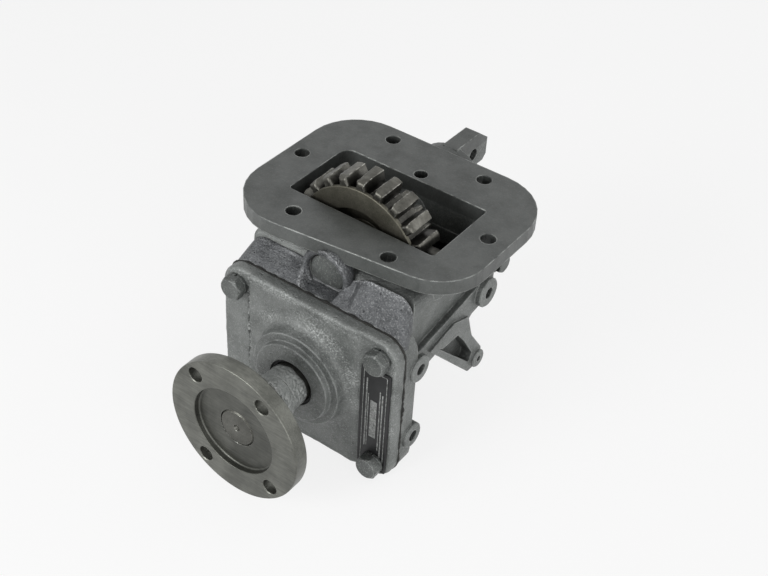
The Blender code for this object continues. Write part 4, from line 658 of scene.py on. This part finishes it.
def idler_gear():
    """Both rims, and the disc and bore between them as one turned body."""
    nose = [(-0.0324 + 0.0046 * t, 0.0028 * (1 - math.sqrt(1 - (1 - t) ** 2)))
            for t in np.linspace(0, 1, 9)]
    sections = [(-0.0322, 0.0046)] + nose + [(-0.0200, 0.0), (-0.0106, 0.0),
                                             (-0.0102, 0.0004), (-0.0100, 0.0009)]
    big = toothed_rim(BIG_MODULE, BIG_TEETH, BIG_PHASE, sections, inner=0.0400, seed=21,
                      wear=0.00060, bulk=0.38)
    sections = [(-0.0090, 0.0006), (-0.0085, 0.0), (0.0044, 0.0), (0.0050, 0.0006)]
    small = toothed_rim(SMALL_MODULE, SMALL_TEETH, SMALL_PHASE, sections, inner=0.0240,
                        seed=33, wear=0.00015)
    profile = eased([(-0.0326, 0.0139), (-0.0330, 0.0150), (-0.0330, 0.0188),
                     (-0.0250, 0.0192), (-0.0250, 0.0308), (-0.0330, 0.0312),
                     (-0.0330, 0.0474), (-0.0300, 0.0474), (-0.0290, 0.0430),
                     (-0.0101, 0.0430), (-0.0101, 0.0268), (-0.0088, 0.0268),
                     (-0.0088, 0.0240), (0.0050, 0.0240), (0.0050, 0.0148),
                     (0.0046, 0.0139)],
                    [0.0004, 0.0005, 0.0010, 0.0010, 0.0007, 0.0010, 0.0012, 0.0010,
                     0.0008, 0.0008, 0.0002, 0.0003, 0.0003, 0.0006], 4)
    disc = skin(turned(profile[:, 1:], circle(144), profile[:, :1], IDLER_AXIS))
    for name, part, mat in (("idler_rim_teeth", big, gear_steel),
                            ("idler_disc", disc, gear_face),
                            ("idler_small_teeth", small, gear_steel)):
        piece(name, [part], mat, "idler", ["idler_gear"], GEAR_SHARP)


idler_gear()

# Bolts: one grid of rows along the axis, the radius held to a hexagon by a chamfer cone
BOLT_SHANK, BOLT_FLATS, BOLT_HEAD, BOLT_END = 0.0097, 0.0160, 0.0065, -0.0688
BOLT_X, BOLT_DROP, BOLT_SEAT = 0.0594, 0.0464, -0.0910
PLATE_UNDER_HEAD = 0.0015
# Shares of the head: where the chamfer cone starts, how deep it goes, blunt corners
CONE_START, CONE_DEPTH, BLUNT = 0.93, 0.30, 0.975


def hex_bolt(name, node, place, seat, turn):
    """Radius at angle a is the least of the row's limit and apothem / cos(a mod 60 deg);
    the rows' limits draw the washer face, the chamfer cone, the flat top and the shank."""
    front = seat - BOLT_HEAD
    apothem, corner, shank = BOLT_FLATS / 2, BOLT_FLATS / math.sqrt(3), BOLT_SHANK / 2
    t = np.linspace(0, 1, 8)[:, None]
    cone = np.hstack([front + t * BOLT_HEAD * CONE_DEPTH,
                      apothem * CONE_START + t * (corner - apothem * CONE_START)])
    rows = np.concatenate([
        [(front + 0.0001, 0.0), (front + 0.0001, apothem * 0.70), (front, apothem * 0.88)],
        cone,
        [(seat - 0.0004, corner), (seat, corner * 0.985), (seat, shank + 0.0001),
         (seat + 0.0006, shank), (BOLT_END - 0.001, shank), (BOLT_END, shank - 0.001),
         (BOLT_END, 0.0)]])
    a = circle(120)
    hexagon = apothem / np.cos((a - turn + np.pi / 6) % (np.pi / 3) - np.pi / 6)
    blunt = corner * BLUNT
    hexagon = np.minimum(hexagon, blunt + 0.3 * (hexagon - blunt))
    grid = turned(np.minimum(rows[:, 1:], hexagon), a, rows[:, :1], place)
    piece(name, [skin(grid, False)], bolt_paint, "housing", [node], sharp=28.0)


for number, (sx, sz, turn) in enumerate(((-1, 1, 38), (1, 1, 52), (-1, -1, 70),
                                         (1, -1, 42)), 1):
    hex_bolt("hex_head_%d" % number, "cover_bolt_%d" % number,
             (sx * BOLT_X, OUT_Z - COVER_DROP + sz * BOLT_DROP),
             BOLT_SEAT - (PLATE_UNDER_HEAD if number == 4 else 0.0), math.radians(turn))

# Data plate: a blank thin sheet with a pressed rim
PLATE_AT, PLATE_HALF, PLATE_CORNER = (0.05755, -0.10707), (0.01175, 0.0450), 0.0016
PLATE_BACK, PLATE_FRONT, PRESSED = -0.0887, -0.0899, 0.0003
RULE_BACK, RULE_FRONT = -0.0894, -0.0898


def plate_rows(place, half, steps, radius):
    """Rows of (y, inset) steps: each is a rectangle's outline drawn in by the inset, with
    four corner arcs of the radius left over, so that the rows join point to point."""
    rows = []
    t = np.linspace(0, 1, 9)[:, None] * np.pi / 2
    for y, inset in steps:
        left = max(radius - inset, 0.0)
        corners = [np.hstack([sx * (half[0] - inset - left) + left * np.cos(t + k * np.pi / 2),
                              sz * (half[1] - inset - left) + left * np.sin(t + k * np.pi / 2)])
                   for k, (sx, sz) in enumerate(((1, 1), (-1, 1), (-1, -1), (1, -1)))]
        loop = np.concatenate(corners) + (PLATE_AT[0] + place[0], PLATE_AT[1] + place[1])
        rows.append(in_plane(loop, y))
    return np.array(rows)


def data_plate():
    """Rows are the plate's outline drawn in by a growing offset, until both long sides
    meet; Y steps up at the rim and down to the blank field."""
    width, field = PLATE_HALF[0], PLATE_FRONT + PRESSED
    steps = [(PLATE_BACK, width), (PLATE_BACK, 0.0080), (PLATE_BACK, 0.0006),
             (PLATE_BACK, 0.0), (field, 0.0), (PLATE_FRONT, 0.0003), (PLATE_FRONT, 0.0012),
             (field, 0.0016), (field, 0.0040), (field, 0.0080), (field, width)]
    grid = plate_rows((0, 0), PLATE_HALF, steps, PLATE_CORNER)
    bow = 0.00012 * np.sin((grid[..., 2] - PLATE_AT[1] + PLATE_HALF[1]) * 2 * np.pi / 0.045)
    grid[..., 1] -= np.maximum(bow, 0)
    piece("blank_data_plate", [skin(grid, False)], plate_black, "housing", ["data_plate"],
          sharp=30.0)


def plate_ruling():
    """A frame line, a blank pale patch and four plain bars, each 0.2 mm proud of the
    plate's field; rows are drawn in to the line's width, or until the sides meet."""
    line = 0.0005
    steps = [(RULE_BACK, 0.0), (RULE_FRONT, 0.0), (RULE_FRONT, line), (RULE_BACK, line)]
    parts = [skin(plate_rows((0, 0), (0.0094, 0.0427), steps, 0.0010))]
    bars = (((-0.0004, 0.0005), (0.0026, 0.0165)), ((-0.0064, 0.0040), (0.0005, 0.0310)),
            ((-0.0048, -0.0020), (0.0003, 0.0240)), ((0.0044, 0.0010), (0.0004, 0.0270)),
            ((0.0064, -0.0030), (0.0005, 0.0290)))
    for place, half in bars:
        steps = [(RULE_BACK, half[0]), (RULE_BACK, 0.0), (RULE_FRONT, 0.0),
                 (RULE_FRONT, half[0])]
        parts.append(skin(plate_rows(place, half, steps, 0.0003), False))
    piece("blank_plate_ruling", parts, plate_pale, "housing")


data_plate()
plate_ruling()


# Joint: the gasket was cut by hand and stands out raggedly between cover and housing
def gasket_edge():
    """The cover's outline pushed out by seeded waves, with a flat section 1 mm thick.
    Along the bottom it is held up to the cover's own lower side, on the bench."""
    border = square_edge(960, COVER_HALF, COVER_CORNER)
    way = border / np.linalg.norm(border, axis=1, keepdims=True)
    ragged = waves(in_plane(border, 0.0), (0.010, 0.0045, 0.0021), seed=61, count=14)
    ragged = np.clip(ragged, -1, 1)[:, None]
    out = border + way * (0.0004 + 0.0013 * np.maximum(ragged, -0.3))
    inside = border - way * 0.0050
    grid = np.array([in_plane(loop, y) for loop, y in (
        (inside, -0.0804), (out, -0.0805), (out + way * 0.0002, -0.0797), (out, -0.0788),
        (inside, -0.0789))])
    grid[..., 2] = np.maximum(OUT_Z - COVER_DROP + grid[..., 2], BENCH_Z)
    piece("ragged_gasket_edge", [skin(grid)], paper, "housing")


gasket_edge()

# Shoulder: the casting runs in one rough slope from the joint up to the body's front
SHOULDER_FOOT, SHOULDER_SHARP = -0.0600, 60.0
SIDE_STEPS, BEND_STEPS, TOP_STEPS, SLOPE_ROWS = 20, 26, 250, 44


def shoulder_line(half, top, radius):
    """(x, z) up the left side, round the corner, along the top and down the right side."""
    t = np.linspace(0, 1, SIDE_STEPS, endpoint=False)
    left = np.stack([np.full(SIDE_STEPS, -half),
                     SHOULDER_FOOT + t * (top - radius - SHOULDER_FOOT)], 1)
    a = np.linspace(np.pi, np.pi / 2, BEND_STEPS, endpoint=False)
    bend = np.stack([radius - half + radius * np.cos(a), top - radius + radius * np.sin(a)], 1)
    middle = np.stack([np.linspace(radius - half, half - radius, TOP_STEPS),
                       np.full(TOP_STEPS, top)], 1)
    line = np.concatenate([left, bend, middle])
    return np.concatenate([line, (line * [-1, 1])[:SIDE_STEPS + BEND_STEPS][::-1]])


def cast_shoulder():
    """Rows blend the joint's outline into the body's: (1-v) A + v B; seeded lumps stand
    off it, it sinks round the idler plug's boss, and it ends inside the casting."""
    first = shoulder_line(0.0727, -0.0389, 0.0160)
    last = shoulder_line(0.0664, -0.0262, 0.0110)
    last[:, 1] += 0.0085 * climb(last[:, 1], -0.0500, 0.0238) * eased_step(
        climb(last[:, 0], 0.0120, 0.0220))
    v = np.linspace(0, 1, SLOPE_ROWS)[:, None]
    x = (1 - v) * first[:, 0] + v * last[:, 0]
    z = (1 - v) * first[:, 1] + v * last[:, 1]
    grid = np.stack([x, np.broadcast_to(-0.0787 + 0.0143 * v, x.shape), z], -1)
    crest = np.sin(np.pi * v) * np.ones_like(x)
    coarse = np.where(x > 0.020, 1.0, 0.45)
    lumps = 0.0009 * waves(grid, (0.030, 0.013, 0.007), seed=71)
    grains = 0.00035 * coarse * waves(grid, (0.0034, 0.0021), seed=72, count=16)
    stand = lumps * np.minimum(1, 3 * crest) + grains * np.minimum(1, 4 * crest)
    stand += 0.0007 * crest
    grid[..., 1] -= 0.66 * stand
    grid[..., 2] += 0.75 * stand
    fade_out = eased_step(climb(-grid[..., 2], 0.0460, 0.0080))
    grid[..., 0] = (1 - fade_out) * grid[..., 0] + fade_out * np.sign(grid[..., 0]) * 0.0645
    off = np.hypot(grid[..., 0] - IDLER_X, grid[..., 2] - IDLER_Z)
    sink = climb(-off, -0.0162, 0.0012) * climb(grid[..., 2], -0.0386, 0.0008)
    grid[..., 1] = (1 - sink) * grid[..., 1] + sink * np.maximum(grid[..., 1], -0.0648)
    groove = np.clip(1 - np.abs(grid[..., 0] - 0.0210) / 0.0050, 0, 1)
    grid[..., 1] += 0.0050 * groove * crest
    lip = hump(v, 0.97, 0.07) * (0.55 + 0.45 * (x > 0.020))
    wall = hump(off, 0.0170, 0.0016) * (grid[..., 0] < -0.002)
    rubbed = np.clip(0.8 * lip + 1.2 * wall + 0.10 * (x > 0.024), 0, 1) * (1 - fade_out)
    hidden = np.array([in_plane(shoulder_line(0.0630, -0.0275, 0.0090), -0.0600),
                       in_plane(shoulder_line(0.0645, -0.0430, 0.0120), -0.0700)])
    grid = np.concatenate([grid, hidden])
    # Each open end is closed by one more column, drawn together in its middle
    ends = [np.repeat(grid[:, k:k + 1].mean(axis=0, keepdims=True), len(grid), axis=0)
            for k in (0, grid.shape[1] - 1)]
    grid = np.concatenate([ends[0], grid, ends[1]], axis=1)
    rubbed = np.pad(rubbed, ((0, len(hidden)), (1, 1)))
    piece("cast_shoulder", [skin(grid, close_columns=False)], shaded_shoulder_paint, "housing",
          sharp=SHOULDER_SHARP, rubbed=rubbed)


def plug_collar():
    """A raised rough rim round the idler plug: profile (y, r) carried round the idler's
    axis; a run of metal swells it towards the upper right, where it meets the flange."""
    foot_y, foot_r = -0.0645, 0.0146
    a = circle(300)
    profile = eased([(-0.0642, foot_r), (-0.0688, 0.0148), (-0.0698, 0.0166),
                     (-0.0688, 0.0188), (-0.0642, 0.0200)], [0.0012, 0.0012, 0.0014], 9)
    profile = np.concatenate([profile, [(-0.0620, 0.0190), (-0.0620, 0.0150)]])
    y, r = profile[:, :1], profile[:, 1:]
    proud = np.where(y < foot_y, 1.0, 0.0)
    swell = hump(a, math.radians(66), math.radians(36))
    open_side = climb(r, foot_r, 0.0040)
    grid = turned(r + swell * open_side * 0.0044, a, y - swell * open_side * proud * 0.0046,
                  IDLER_AXIS)
    push = wave_push(grid, (0.0080, 0.0040, 0.0022), 81, 14)
    grid += push * (proud * (0.35 + swell))[..., None] * 0.0009
    left = hump(a, math.radians(215), math.radians(40))
    rubbed = np.clip(0.9 * swell + left, 0, 1) * proud
    piece("rough_plug_collar", [skin(grid)], shaded_shoulder_paint, "housing",
          sharp=SHOULDER_SHARP, rubbed=rubbed)


cast_shoulder()
plug_collar()

# Shaft and hub: the sprayed paint has wrinkled round the turning metal
SEAT_RADIUS = 0.0150


def paint_sleeve(name, radius, ends, rows, seat, lift, fold, wavelengths, seed, sunk):
    """A thin sleeve with r = seat(y) + lift + folds of seeded waves, which die out towards
    both wandering ends; its inner wall lies sunk in the metal."""
    a = circle(240)
    head, tail = ends(turned(radius, a, 0.0))
    t = np.linspace(0, 1, rows)[:, None]
    y = (1 - t) * head + t * tail
    folds = np.clip(np.abs(waves(turned(radius, a, y), wavelengths, seed, 14)), 0, 1)
    metal = seat(y)
    r = metal + lift + fold * folds * np.clip(np.minimum(t, 1 - t) * 12, 0.1, 1)
    inner = turned(metal[[-1, 0]] - sunk, a, np.stack([tail, head]), OUT_AXIS)
    grid = np.concatenate([turned(r, a, y, OUT_AXIS), inner])
    piece(name, [skin(grid)], flaked_paint, "output", sharp=60.0)


def shaft_ends(ring):
    """Where the paint on the shaft starts and ends, at the points of a ring."""
    return (-0.1190 + 0.0006 * np.abs(waves(ring, (0.009, 0.004), seed=41)),
            -0.1068 + 0.0010 * waves(ring, (0.011, 0.005), seed=42))


def hub_ends(ring):
    """The same on the flange's hub."""
    return (-0.1502 + 0.0006 * waves(ring, (0.012, 0.005), seed=51),
            -0.1198 + 0.0002 * waves(ring, (0.011, 0.005), seed=52))


def hub_seat(y):
    """The hub and its quadratic fillet: r0 + f (1 - sqrt((y - y0) / f))^2."""
    return HUB_RADIUS + HUB_FILLET * (1 - np.sqrt(climb(y, FLANGE_BACK, HUB_FILLET))) ** 2


paint_sleeve("wrinkled_shaft_paint", 0.015, shaft_ends, 44,
             lambda y: np.full_like(y, SEAT_RADIUS), lift=0.00012, fold=0.00075,
             wavelengths=(0.0052, 0.0030), seed=43, sunk=0.0001)
paint_sleeve("wrinkled_hub_paint", 0.016, hub_ends, 60, hub_seat, lift=0.00008,
             fold=0.00065, wavelengths=(0.0070, 0.0036), seed=53, sunk=0.0003)

# Camera: turned about the upright, raised, and rolled a little, as the photo was taken
CAMERA_AT = Vector((0.39613, -0.57018, 0.66381))
AZIMUTH, ELEVATION, ROLL = map(math.radians, (33.24, 38.80, 4.06))
FOCAL_MM, SENSOR_MM, SHIFT = 60.94, 36.0, -0.0156
right = Vector((math.cos(AZIMUTH), math.sin(AZIMUTH), 0.0))
back = Vector((math.sin(AZIMUTH) * math.cos(ELEVATION),
               -math.cos(AZIMUTH) * math.cos(ELEVATION), math.sin(ELEVATION)))
up = back.cross(right)
tilted_right = right * math.cos(ROLL) + up * math.sin(ROLL)
tilted_up = up * math.cos(ROLL) - right * math.sin(ROLL)
lens = bpy.data.cameras.new("camera")
lens.lens = FOCAL_MM
lens.sensor_width = SENSOR_MM
lens.sensor_fit = "HORIZONTAL"
lens.shift_x = lens.shift_y = SHIFT
lens.clip_start = 0.01
camera = bpy.data.objects.new("camera", lens)
bpy.context.scene.collection.objects.link(camera)
columns = (tilted_right, tilted_up, back, CAMERA_AT)
camera.matrix_world = Matrix([[column[i] for column in columns] for i in range(3)]
                             + [[0.0, 0.0, 0.0, 1.0]])
bpy.context.scene.camera = camera

# Light: a soft dim surround that looks white to the eye, and four square lamps
SOFT, WHITE = 0.28, (1, 1, 1, 1)
LAMP_AIM = Vector((0, 0, 0.08))
world = bpy.data.worlds.new("studio")
bpy.context.scene.world = world
world.use_nodes = True
sky = world.node_tree
sky.nodes.clear()


def seen_directly(tree):
    """1 for rays from the eye, and for those that polished metal sends on."""
    path = add(tree, "ShaderNodeLightPath").outputs
    mirror = calc(tree, "MAXIMUM", path["Is Glossy Ray"], path["Is Transmission Ray"])
    return calc(tree, "MAXIMUM", path["Is Camera Ray"], mirror)


soft = add(sky, "ShaderNodeBackground", {"Color": WHITE, "Strength": SOFT})
white = add(sky, "ShaderNodeBackground", {"Color": WHITE, "Strength": 1.0})
blend = add(sky, "ShaderNodeMixShader", {0: seen_directly(sky), 1: soft.outputs[0],
                                         2: white.outputs[0]})
add(sky, "ShaderNodeOutputWorld", {"Surface": blend.outputs[0]})


def lamp(name, place, size, power):
    """A soft square lamp that looks at the middle of the unit."""
    light = bpy.data.lights.new(name, "AREA")
    light.shape = "SQUARE"
    light.size = size
    light.energy = power
    obj = bpy.data.objects.new(name, light)
    bpy.context.scene.collection.objects.link(obj)
    obj.location = place
    obj.rotation_euler = (Vector(place) - LAMP_AIM).to_track_quat("Z", "Y").to_euler()


lamp("key", (-0.35, -1.25, 0.62), 0.7, 12.0)
lamp("fill", (1.0, -0.60, 0.40), 0.9, 6.0)
lamp("top", (0.1, 0.35, 1.2), 0.9, 1.0)
lamp("rear", (0.8, 1.15, 0.50), 0.9, 3.5)

bpy.context.scene.view_settings.view_transform = "Standard"

# The floor is white to the eye but keeps the unit's soft shadow
FLOOR_REACH, FLOOR_GREY, FLOOR_GLOW = 30, 0.9, 0.82
floor_mesh = bpy.data.meshes.new("floor")
floor_mesh.from_pydata([(sx * FLOOR_REACH, sy * FLOOR_REACH, 0)
                        for sx, sy in ((-1, -1), (1, -1), (1, 1), (-1, 1))], [], [(0, 1, 2, 3)])
floor = bpy.data.objects.new("floor", floor_mesh)
bpy.context.scene.collection.objects.link(floor)
floor_mat, floor_tree, floor_shader, _ = surface("white_floor", roughness=0.9)
floor_shader.inputs["Base Color"].default_value = (FLOOR_GREY, FLOOR_GREY, FLOOR_GREY, 1.0)
paleness = add(floor_tree, "ShaderNodeEmission", {"Color": WHITE, "Strength": 1.0})
share = calc(floor_tree, "MULTIPLY", seen_directly(floor_tree), FLOOR_GLOW)
lit = add(floor_tree, "ShaderNodeMixShader", {0: share, 1: floor_shader.outputs[0],
                                              2: paleness.outputs[0]})
floor_tree.links.new(lit.outputs[0], floor_tree.nodes["Material Output"].inputs["Surface"])
floor_mesh.materials.append(floor_mat)
